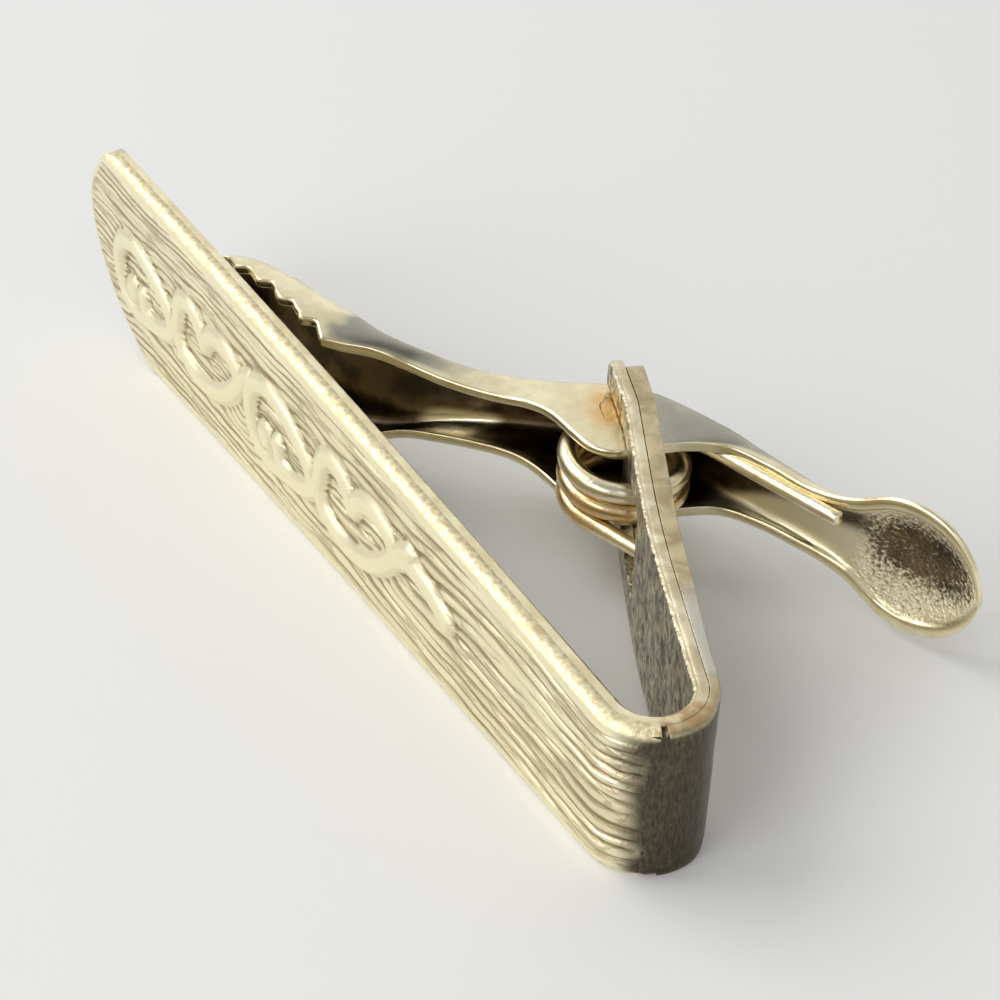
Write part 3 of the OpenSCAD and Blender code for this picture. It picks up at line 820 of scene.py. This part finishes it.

# %% [markdown]
# Outside, the lever is painted darker on its upper side behind the teeth, as a dark reflection,
# and behind the leg, as the leg's shadow, and it has a brown patch beside the leg. They are
# marks too. The edge above the teeth is a little bent by use, and that is a shape, so there the
# points themselves are moved.

# %% Wear and painted shade on the lever's outside
near_teeth = (bell(np.linalg.norm(skin - skin[:, -1:], axis=2), 1.3)
              * (1 - ease(section_x, -25, -22)))
skin[..., 2] += 0.1 * near_teeth * streaks(skin[..., 0] / 0.8, skin[..., 1] / 0.7, 61)
patch_at = np.array([-15.72, 8.72, 2.0])
patch_along, patch_across = np.array([-0.85, 0.53, 0]), np.array([0.53, 0.85, 0])
upper_wall = skin[..., 2] > 1.2
patch = upper_wall * np.clip(1.7 * bell((skin - patch_at) @ patch_along, 1.35)
                             * bell((skin - patch_at) @ patch_across, 0.8), 0, 1)
ragged = skin[..., 0] + 0.6 * streaks(skin[..., 1] / 0.7, skin[..., 0] / 0.9, 71)
leg_angle_there = leg_angles[-8]
leg_outwards = np.array([math.sin(leg_angle_there), math.cos(leg_angle_there)])
behind_leg = (skin[..., :2] - pivot[:2]) @ leg_outwards
off_rim = ease(foot_distance(skin), 0.25, 0.7)
upward = ease(skin[..., 2] / half_width, 0.1, 0.75)
past_teeth = between(ragged, -26.2, -25.2, -22.6, -20.4)
past_leg = (ease(behind_leg, 0.3, 0.9) * ease(skin[..., 0], -16.5, -15.5)
            * (1 - ease(ragged, -9.5, -6.5)))
# Painted shade: a dark reflection past the teeth and the leg's shadow behind the leg, on the
# upper side.
shade_outside = off_rim * upward * (past_teeth + past_leg)
print("smoky share of the skin:", shade_outside.mean().round(3))

# %% [markdown]
# A stamped edge that was plated and carried for years is round. Skin and lining are drawn
# together towards the rim along a quarter circle, which leaves a narrow edge, and a small
# Bevel modifier rounds that. A Bevel alone would need a wide band without other points.


# %% Lever with a rounded rim
def rim_share(grid):
    """One at the rim, falling to zero at the last rim step along a quarter circle."""
    return quarter_round(ramp(foot_distance(grid), 0, rim_steps[-1]), 1)


rim_depth = 0.485
skin_share, lining_share = rim_share(skin), rim_share(lining)
across_sheet = lining - skin
skin = skin + rim_depth * skin_share[..., None] * across_sheet
lining = lining - rim_depth * lining_share[..., None] * across_sheet
lever = sheet("toothed_lever", skin, lining, None,
              {"inside": on_faces(0, inside), "shade_inside": on_faces(0, shade_inside),
               "spoon": on_faces(0, inside * in_spoon), "satin": on_faces(0, satin),
               "patch": on_faces(patch, 0), "shade_outside": on_faces(shade_outside, 0)})
soften(lever, 0.08, 3, 60)
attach(lever, "lever")
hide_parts("jaw_lever")

# %% [markdown]
# The spring is one round wire: a straight arm under the lever's handle, two and a half turns
# between its cheeks, and a foot along the fork. A bevelled curve would give a tube as well,
# but here its radius changes along the way, so a circle is carried along the wire's line.

# %% Wire of the spring
arm_r = 0.31
coil_wire_r = 0.44
coil_r = 2.35
coil_pitch = 0.95
coil_at = np.array([-14.0, 8.5])
arm_angle, foot_angle = math.radians(106), math.radians(284 + 720)
coil_top = 1.14
arm_length, arm_drop, foot_length = 8.9, 0.08, 5.4


def coil_point(a):
    """A point on the coil: round the middle, and down by the pitch for each turn."""
    return np.stack([coil_at[0] + coil_r * np.cos(a), coil_at[1] + coil_r * np.sin(a),
                     coil_top - coil_pitch * (a - arm_angle) / (2 * np.pi)], -1)


arm_t = np.linspace(1, 0, 30)[:-1, None]
arm_way = np.array([math.sin(arm_angle), -math.cos(arm_angle), 0])
arm = coil_point(arm_angle) + arm_way * arm_length * arm_t - np.array([0, 0, arm_drop]) * arm_t
foot_t = np.linspace(0, 1, 18)[1:, None]
foot_way = np.array([-math.sin(foot_angle), math.cos(foot_angle), 0])
foot = coil_point(foot_angle) + foot_way * foot_length * foot_t
coil = coil_point(np.linspace(arm_angle, foot_angle, 170))
wire_line = np.vstack([arm, coil, foot])


def end_radius(distance):
    """Radius of a straight end at a distance from the coil: it thins over three millimetres."""
    return arm_r + (coil_wire_r - arm_r) * (1 - ease(distance, 0, 3))


wire_radius = np.concatenate([end_radius(arm_t[:, 0] * arm_length),
                              np.full(len(coil), coil_wire_r),
                              end_radius(foot_t[:, 0] * foot_length)])
wire_length = np.linalg.norm(np.diff(wire_line, axis=0), axis=1).sum()
print("length of the wire, in mm:", wire_length.round(1))

# %% Tube with rounded ends
end_bulge = 0.6


def wire(name, line, radius, tan, sides=20):
    """A round tube along a line, with ends that close in three rounded steps. At each point a
    circle stands across the line's direction. tan marks where the wire is tan."""
    way = np.gradient(line, axis=0)
    way /= np.linalg.norm(way, axis=1)[:, None]
    side = np.cross([0, 0, 1], way)
    side /= np.linalg.norm(side, axis=1)[:, None]
    up = np.cross(way, side)
    angle = np.linspace(0, 2 * np.pi, sides, endpoint=False)
    round_off = np.radians([75, 50, 25])
    size = np.concatenate([np.cos(round_off), np.ones(len(line)), np.cos(round_off[::-1])])
    ahead = np.concatenate([-np.sin(round_off), np.zeros(len(line)), np.sin(round_off[::-1])])
    extra = len(round_off)
    pick = np.clip(np.arange(len(line) + 2 * extra) - extra, 0, len(line) - 1)
    middle = line[pick] + way[pick] * (end_bulge * radius[pick] * ahead)[:, None]
    circle = (side[pick][:, None] * np.cos(angle)[:, None]
              + up[pick][:, None] * np.sin(angle)[:, None])
    points = middle[:, None] + (radius[pick] * size)[:, None, None] * circle
    o, _, wall = ring_walls(len(points), sides)
    return put_mesh(name, points.reshape(-1, 3), [wall, o[:1, ::-1], o[-1:]],
                    {"tan": np.repeat(tan[pick], sides)})


# %% Coil spring
wire_tan = np.concatenate([0 * arm_t[:, 0], ease(np.arange(len(coil)), 55, 90),
                           1 - ease(foot_t[:, 0], 0, 0.3)])
spring = wire("coil_spring", wire_line, wire_radius, wire_tan)
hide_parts("torsion_spring")
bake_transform(spring)

# %% [markdown]
# All finishes are metal, and metal shows by what it reflects. So each material is a shader with
# full metallic, whose colour, roughness and small dents come from noise in object coordinates
# or from marks that the shapes above left on their points. Image textures would do too, but
# noise has no seams and is as fine as it is looked at. The coordinates are scaled to
# millimetres, so a noise of scale 2 has two cells in a millimetre.


# %% Helper that builds nodes
class Nodes:
    """The nodes of a material or of the sky. Each method gives the socket that it ends in."""

    def __init__(self, owner):
        """Takes the node tree of a material or of a sky."""
        owner.use_nodes = True
        self.tree = owner.node_tree

    def add(self, kind, inputs, **settings):
        """A new node. Each input, by name or number, gets a value or the link of a socket."""
        node = self.tree.nodes.new("ShaderNode" + kind)
        for key, value in settings.items():
            setattr(node, key, value)
        for key, value in inputs.items():
            if isinstance(value, bpy.types.NodeSocket):
                self.tree.links.new(value, node.inputs[key])
            else:
                node.inputs[key].default_value = value
        return node

    def span(self, value, low, high, to_low=0.0, to_high=1.0, kind="SMOOTHSTEP"):
        """Maps a value from one span to another, softly and within it."""
        return self.add("MapRange", {"Value": value, "From Min": low, "From Max": high,
                                     "To Min": to_low, "To Max": to_high},
                        interpolation_type=kind).outputs["Result"]

    def along_way(self, vector, way):
        """The part of a vector that lies along a direction: their dot product."""
        return self.add("VectorMath", {0: vector, 1: way},
                        operation="DOT_PRODUCT").outputs["Value"]

    def maths(self, operation, first, second=0.0):
        """Arithmetic on two values, each a socket or a number."""
        return self.add("Math", {0: first, 1: second}, operation=operation).outputs["Value"]

    def times(self, first, second):
        """The product of two values."""
        return self.maths("MULTIPLY", first, second)

    def plus(self, first, second):
        """The sum of two values."""
        return self.maths("ADD", first, second)


# %% Helper that makes a metal
class Metal(Nodes):
    """A metal whose colour is laid on in coats and whose coordinates are millimetres."""

    def __init__(self, name, rough, colour):
        """A full metal with a roughness and a first colour. Object coordinates over a
        thousandth are its millimetres."""
        self.material = bpy.data.materials.new(name)
        super().__init__(self.material)
        self.colour = colour
        self.shader = self.tree.nodes["Principled BSDF"]
        self.shader.inputs["Metallic"].default_value = 1.0
        self.shader.inputs["Roughness"].default_value = rough
        place = self.add("TexCoord", {}).outputs["Object"]
        self.mm = self.scaled(place, (1 / MM, 1 / MM, 1 / MM))

    def scaled(self, vector, scale):
        """A vector whose three numbers are multiplied by three others."""
        return self.add("Mapping", {"Vector": vector, "Scale": scale}).outputs["Vector"]

    def noise(self, scale, detail=3.0, stretch=(1, 1, 1), distortion=0.0):
        """Noise with cells of 1/scale mm, stretched by scaling the coordinates."""
        return self.add("TexNoise", {"Vector": self.scaled(self.mm, stretch), "Scale": scale,
                                     "Detail": detail,
                                     "Distortion": distortion}).outputs["Fac"]

    def mark(self, name):
        """A number that the shape left on its points."""
        return self.add("Attribute", {}, attribute_name=name).outputs["Fac"]

    def blend(self, share, first, second):
        """A colour between two, each a socket or three numbers. The Mix node has its colours
        in inputs 6 and 7 and gives the blend in output 2."""
        first, second = ((*c, 1) if isinstance(c, tuple) else c for c in (first, second))
        return self.add("Mix", {0: share, 6: first, 7: second}, data_type="RGBA").outputs[2]

    def coat(self, share, colour):
        """Lays a colour over what is there, more of it where the share is larger."""
        self.colour = self.blend(share, self.colour, colour)

    def paint(self, pieces, rough=None, *bumps):
        """Puts the metal on pieces, with bumps given as (height socket, depth in mm). The last
        bump ends in the shader, and each one takes in the one before it."""
        self.tree.links.new(self.colour, self.shader.inputs["Base Color"])
        if rough is not None:
            self.tree.links.new(rough, self.shader.inputs["Roughness"])
        target = self.shader.inputs["Normal"]
        for height, depth in reversed(bumps):
            bump = self.add("Bump", {"Strength": 1.0, "Distance": depth * MM,
                                     "Height": height})
            self.tree.links.new(bump.outputs["Normal"], target)
            target = bump.inputs["Normal"]
        for piece in pieces:
            piece.data.materials.append(self.material)
        print(f"{self.material.name}: {len(self.tree.nodes)} nodes")


# %% [markdown]
# Three things come back on more than one piece. The bend has short strokes and specks, and it
# is painted dark as shade, on the plate, the solder and the outer strip. The cut edges of both
# strips are gritty and patchy. And soldering left a brown stain on them near the seam. Each
# metal could spell these out for itself, but a shared helper keeps the pieces alike.


# %% Wear and painted shade that the metals share
def bend_strokes_and_shade(metal):
    """Short strokes, the same with bright specks, and the dark colour painted on the bend as
    shade.
    """
    strokes = metal.noise(5.0, 5, (1.9, 1.9, 0.5))
    speckled = metal.plus(strokes, metal.span(metal.noise(4.0, 4), 0.56, 0.7, 0.0, 0.2))
    # This dark colour is painted shade for the bend.
    colour = metal.blend(metal.span(speckled, 0.3, 0.8), (0.065, 0.056, 0.036),
                         (0.145, 0.125, 0.085))
    return strokes, speckled, colour


def edge_patches(metal):
    """Broad patches, for the colour of a cut edge."""
    return metal.span(metal.noise(0.9, 4, distortion=0.5), 0.35, 0.65)


def edge_grit(metal):
    """Fine grit that lies on the cut edges alone."""
    return metal.times(metal.mark("edge"), metal.noise(4.5, 4, (0.4, 0.4, 1)))


def scorch(metal):
    """The stain of soldering, broken up by noise."""
    return metal.times(metal.mark("stain"), metal.span(metal.noise(1.6, 5), 0.33, 0.55))


# %% [markdown]
# The plate is pale champagne gold with a satin skin. The grooves of the bark, the hollows
# beside the stems and the stems' flanks are painted darker as shade, and the sawn rim is tan
# and grainy. The relief left marks of its own grooves, so the painted shade lies exactly in
# them.

# %% Gold of the front plate
gold = Metal("plate gold", 0.28, (0.99, 0.93, 0.66))
clouds = gold.noise(0.35, 4)
gold.coat(clouds, (0.93, 0.85, 0.57))
# Painted shade in the bark's grooves, beside the stems and on the stems' flanks.
groove_shade = gold.mark("groove")
gold.coat(gold.span(groove_shade, 0.1, 0.5), (0.86, 0.77, 0.54))
gold.coat(gold.span(groove_shade, 0.42, 0.85, 0.0, 0.9), (0.36, 0.28, 0.16))
gold.coat(gold.span(gold.mark("flank_shade"), 0.0, 1.0, 0.0, 0.4), (0.62, 0.57, 0.40))
over_ground, over_bend, over_rim = (gold.mark(name) for name in ("ground", "bend", "edge"))
threads = gold.noise(3.2, 5, (0.16, 1, 1), 0.4)
thin_lines = gold.span(threads, 0.54, 0.6, 0.0, 0.5)
gold.coat(gold.times(over_ground, thin_lines), (0.42, 0.33, 0.20))
_, rubbed, bend_shade = bend_strokes_and_shade(gold)
# Painted shade on the plate's bend.
gold.coat(over_bend, bend_shade)
grain = gold.noise(4.5, 4)
rim_gold = gold.blend(gold.span(grain, 0.35, 0.65), (0.76, 0.64, 0.38), (0.98, 0.90, 0.62))
gold.coat(over_rim, rim_gold)
bar_rough = gold.plus(gold.span(clouds, 0.3, 0.7, 0.26, 0.36), gold.times(over_rim, 0.2))
gold.paint([front_bar], bar_rough, (gold.times(over_ground, threads), 0.09),
           (gold.times(over_rim, grain), 0.045), (gold.times(over_bend, rubbed), 0.03))

# %% [markdown]
# The inner strip was gilded too, but the gold has worn to a grey-brown metal. Inside the leg
# it is crinkled, and painted dark as shade, with lighter creases as painted glints. The creases
# are finer than the grid of points, so they are a bump, while the larger dents are in the mesh
# itself.

# %% Worn metal of the inner strip
worn = Metal("worn strip", 0.3, (0.86, 0.78, 0.55))
worn.coat(worn.span(worn.noise(0.5, 6, distortion=0.3), 0.3, 0.75), (0.76, 0.67, 0.45))
over_leg = worn.mark("leg")
in_leg = worn.times(worn.mark("inside"), over_leg)
creases = worn.noise(2.5, 8, (1.0, 1.0, 0.75), 0.7)
# Painted shade inside the leg, with lighter creases as painted glints.
leg_shade_colour = worn.blend(worn.span(creases, 0.34, 0.66), (0.15, 0.128, 0.085),
                           (0.68, 0.62, 0.46))
worn.coat(in_leg, leg_shade_colour)
patches = edge_patches(worn)
bar_edge = worn.blend(patches, (0.98, 0.90, 0.60), (0.84, 0.72, 0.44))
leg_edge = worn.blend(patches, (0.84, 0.76, 0.53), (0.62, 0.52, 0.34))
worn.coat(worn.mark("edge"), worn.blend(over_leg, bar_edge, leg_edge))
worn.coat(scorch(worn), (0.54, 0.38, 0.19))
strip_rough = worn.span(worn.noise(2.4, 4), 0.3, 0.7, 0.22, 0.42)
worn.paint([inner_strip], strip_rough, (worn.times(in_leg, creases), 0.22),
           (edge_grit(worn), 0.02), (worn.noise(12, 3), 0.006))

# %% [markdown]
# The outer strip is brushed, and little gold is left on it. On the bend it is painted as dark as
# the end of the plate, as shade, and the solder between them wears the same metal and the same
# painted shade, so the seam shows by its form alone.

# %% Brushed metal of the outer strip and the solder
brushed = Metal("brushed back", 0.34, (0.54, 0.46, 0.32))
brush, _, bend_shade = bend_strokes_and_shade(brushed)
brushed.coat(brushed.span(brush, 0.3, 0.7), (0.70, 0.61, 0.43))
# Painted shade on the outer strip's bend and on the solder.
brushed.coat(brushed.mark("bend"), bend_shade)
cut_edge = brushed.blend(edge_patches(brushed), (0.68, 0.57, 0.36), (0.44, 0.35, 0.20))
cut_edge = brushed.blend(brushed.mark("silver"), cut_edge, (0.62, 0.60, 0.51))
brushed.coat(brushed.mark("edge"), cut_edge)
brushed.coat(scorch(brushed), (0.48, 0.32, 0.15))
brushed.paint([outer_strip, solder], brushed.span(brush, 0.3, 0.7, 0.28, 0.42),
              (brush, 0.02), (edge_grit(brushed), 0.02))

# %% [markdown]
# The pin hardly shows, because the fork's rails cover its ends. It is dull turned metal. The
# lathe's rings are too fine for its grid, so they are a noise that is drawn out across the
# axis.

# %% Dull metal of the pin
turned = Metal("turned pin", 0.3, (0.50, 0.45, 0.36))
turned.coat(turned.noise(2, 3), (0.66, 0.60, 0.48))
turned.paint([pin], None, (turned.noise(6, 2, (0.2, 0.2, 6)), 0.01))

# %% [markdown]
# The lever keeps its polish outside, but for painted shade behind the teeth and behind the leg,
# and a brown patch with a crack beside the leg. Inside it is painted dark as shade, with painted
# light on its lower wall. Its lower wall is satin, and the spoon is covered with small pits that
# sparkle. The crack could be cut into the sheet, but that needs a far finer grid. Here it is a
# thin dark line that noise bends.

# %% Gold of the lever's outside
polish = Metal("lever gold", 0.16, (0.95, 0.87, 0.60))
polish.coat(polish.span(polish.noise(0.9, 5), 0.35, 0.65), (0.84, 0.74, 0.48))
on_patch = polish.mark("patch")
rust = polish.span(polish.noise(1.6, 5, distortion=0.5), 0.3, 0.55, 0.4, 1.0)
polish.coat(polish.times(on_patch, rust), (0.86, 0.57, 0.25))
across, down = (polish.maths("SUBTRACT", polish.along_way(polish.mm, way),
                             float((patch_at + shift) @ way))
                for way in (patch_across, patch_along))
wander = polish.span(polish.noise(1.1, 3), 0.3, 0.7, -0.35, 0.35)
off_line = polish.maths("ABSOLUTE", polish.plus(across, wander))
crack = polish.times(polish.span(off_line, 0.025, 0.075, 0.95, 0.0),
                     polish.span(polish.maths("ABSOLUTE", down), 0.6, 1.1, 1.0, 0.0))
polish.coat(polish.times(crack, on_patch), (0.25, 0.15, 0.07))
# Painted shade behind the teeth and behind the leg.
shadowy = polish.span(polish.noise(0.45, 4), 0.25, 0.6, 0.75, 1.0)
polish.coat(polish.times(polish.mark("shade_outside"), shadowy), (0.37, 0.36, 0.30))
print("nodes for the lever's outside:", len(polish.tree.nodes))

# %% Gold of the lever's inside
# The lining's gold is paler than the outside's, partly as painted highlight.
lining_gold_and_highlight = polish.blend(polish.noise(0.6, 4), (1.0, 0.94, 0.72), (0.93, 0.84, 0.60))
polish.coat(polish.mark("inside"), lining_gold_and_highlight)
on_spoon = polish.mark("spoon")
pits = polish.noise(6.5, 4, distortion=0.4)
speckle = polish.times(polish.maths("SUBTRACT", pits, 0.5), on_spoon)
# Painted shade and light from the dark mark, with speckle from the spoon's pits.
shade_and_pits = polish.plus(polish.mark("shade_inside"), polish.times(speckle, 2.4))
# Colour of the painted shade inside.
shade_tone = polish.blend(polish.span(polish.noise(0.5, 3), 0.35, 0.65), (0.20, 0.145, 0.085),
                         (0.08, 0.06, 0.038))
polish.coat(polish.span(shade_and_pits, 0.1, 0.9), shade_tone)
lever_rough = polish.plus(polish.span(polish.noise(1.2, 2), 0.3, 0.7, 0.18, 0.28),
                          polish.times(polish.mark("satin"), 0.2))
polish.paint([lever], lever_rough, (polish.times(pits, on_spoon), 0.2),
             (polish.noise(0.9, 1), 0.03))

# %% [markdown]
# The spring has the same pale gold, with tan patches on its lower turns, where the wash is
# thin. Drawn wire is smoother than stamped sheet, so its bump is slight.

# %% Gold wash on the wire
drawn = Metal("gilt wire", 0.27, (0.98, 0.92, 0.70))
drawn.coat(drawn.span(drawn.noise(0.8, 4), 0.35, 0.65), (0.88, 0.78, 0.53))
tan_patches = drawn.span(drawn.noise(1.5, 4), 0.3, 0.6, 0.35, 0.9)
drawn.coat(drawn.times(drawn.mark("tan"), tan_patches), (0.78, 0.54, 0.27))
drawn.paint([spring], None, (drawn.noise(4, 3), 0.012))

# %% [markdown]
# The clip rests on the lower edge of its bar, which is not level because the bar tapers, so
# the floor is leant to meet that edge. It is plain and pale, and so large that its far edge
# is the horizon, because the metal mirrors all of it.

# %% Floor
floor_lean = plate_taper / 2
floor_half, floor_gap = 3000.0, 0.02
floor_x = np.array([-1, 1, 1, -1]) * floor_half
floor_y = np.array([-1, -1, 1, 1]) * floor_half
floor_z = floor_lean * floor_x - bend_height / 2 - floor_gap
floor_mesh = bpy.data.meshes.new("floor")
floor_mesh.from_pydata(((np.stack([floor_x, floor_y, floor_z], 1) + shift) * MM).tolist(), [],
                       [(0, 1, 2, 3)])
floor = bpy.data.objects.new("floor", floor_mesh)
bpy.context.scene.collection.objects.link(floor)
floor_paint = bpy.data.materials.new("pale floor")
floor_shader = Nodes(floor_paint).tree.nodes["Principled BSDF"]
floor_shader.inputs["Base Color"].default_value = (0.78, 0.78, 0.77, 1)
floor_shader.inputs["Roughness"].default_value = 0.8
floor_mesh.materials.append(floor_paint)
print("the floor leans by", round(math.degrees(math.atan(floor_lean)), 2), "degrees")

# %% [markdown]
# A studio is pale all round. The sky is grey, brighter towards the horizon, with a soft glow
# behind the clip that the faces turned up to the camera reflect. A picture of a studio could
# do this too, but two spans of a direction are enough and need no file.

# %% Sky
sky = bpy.data.worlds.new("soft sky")
bpy.context.scene.world = sky
air = Nodes(sky)
direction = air.add("TexCoord", {}).outputs["Generated"]
grey = air.span(air.along_way(direction, (0, 0, 1)), 0.0, 0.9, 0.66, 0.3, "LINEAR")
glow_at = (-0.66, 0.41, 0.626)
glow = air.span(air.along_way(direction, glow_at), 0.5, 1.0, 0.0, 0.38)
air.tree.links.new(air.plus(grey, glow), air.tree.nodes["Background"].inputs["Color"])
print("nodes of the sky:", len(air.tree.nodes))

# %% [markdown]
# Under a sky alone the metal looks flat, because it mirrors one grey. Four weak, soft lamps
# give its edges something to catch: a window above, a wide low panel in front that the camera
# doesn't see itself, a second window beside it, and a small fill.

# %% Lamps
lamp_aim = np.array([-18.0, 3.0, 0.0])


def lamp(name, place, size, watts):
    """A soft rectangular lamp at a place in plan millimetres, turned to the clip's middle."""
    light = bpy.data.lights.new(name, "AREA")
    light.shape = "RECTANGLE"
    light.size, light.size_y = size[0] * MM, size[1] * MM
    light.energy = watts
    lamp_object = bpy.data.objects.new(name, light)
    bpy.context.scene.collection.objects.link(lamp_object)
    lamp_object.location = Vector((np.array(place) + shift) * MM)
    to_clip = Vector((lamp_aim + shift) * MM) - lamp_object.location
    lamp_object.rotation_euler = to_clip.to_track_quat("-Z", "Y").to_euler()
    return lamp_object


lamp("window", (-320.0, -205.0, 370.0), (400.0, 340.0), 1.3)
low_panel = lamp("low panel", (-120.0, -860.0, 200.0), (1240.0, 340.0), 2.1)
low_panel.visible_camera = False
lamp("side window", (90.0, -760.0, 490.0), (520.0, 380.0), 1.9)
lamp("fill", (200.0, -60.0, 200.0), (120.0, 120.0), 0.06)

# %% [markdown]
# The camera stands where the photograph was taken from. It could be set by eye, but its place
# and lens were found by matching known points of the clip, so that the render lies on the
# photograph. It is rolled by a little more than a degree.

# %% Camera
camera_data = bpy.data.cameras.new("camera")
camera_data.lens = 72.0
camera_data.sensor_width = 36.0
camera_data.clip_start, camera_data.clip_end = 0.002, 20.0
camera = bpy.data.objects.new("camera", camera_data)
bpy.context.scene.collection.objects.link(camera)
bpy.context.scene.camera = camera
ahead = Vector((-0.66077, 0.41452, -0.62574)).normalized()
sideways = ahead.cross(Vector((0, 0, 1))).normalized()
straight_up = sideways.cross(ahead)
roll = math.radians(1.341)
right = sideways * math.cos(roll) + straight_up * math.sin(roll)
top = straight_up * math.cos(roll) - sideways * math.sin(roll)
eye = Vector((np.array([38.506, -30.419, 50.484]) + shift) * MM)
camera.matrix_world = Matrix(((right.x, top.x, -ahead.x, eye.x),
                              (right.y, top.y, -ahead.y, eye.y),
                              (right.z, top.z, -ahead.z, eye.z), (0, 0, 0, 1)))
bpy.context.scene.view_settings.view_transform = "Standard"
print("the camera stands", round((eye - Vector(shift * MM)).length / MM, 1), "mm off the bend")

# %% [markdown]
# At the end the view layer is brought up to date.

# %% Finish
bpy.context.view_layer.update()
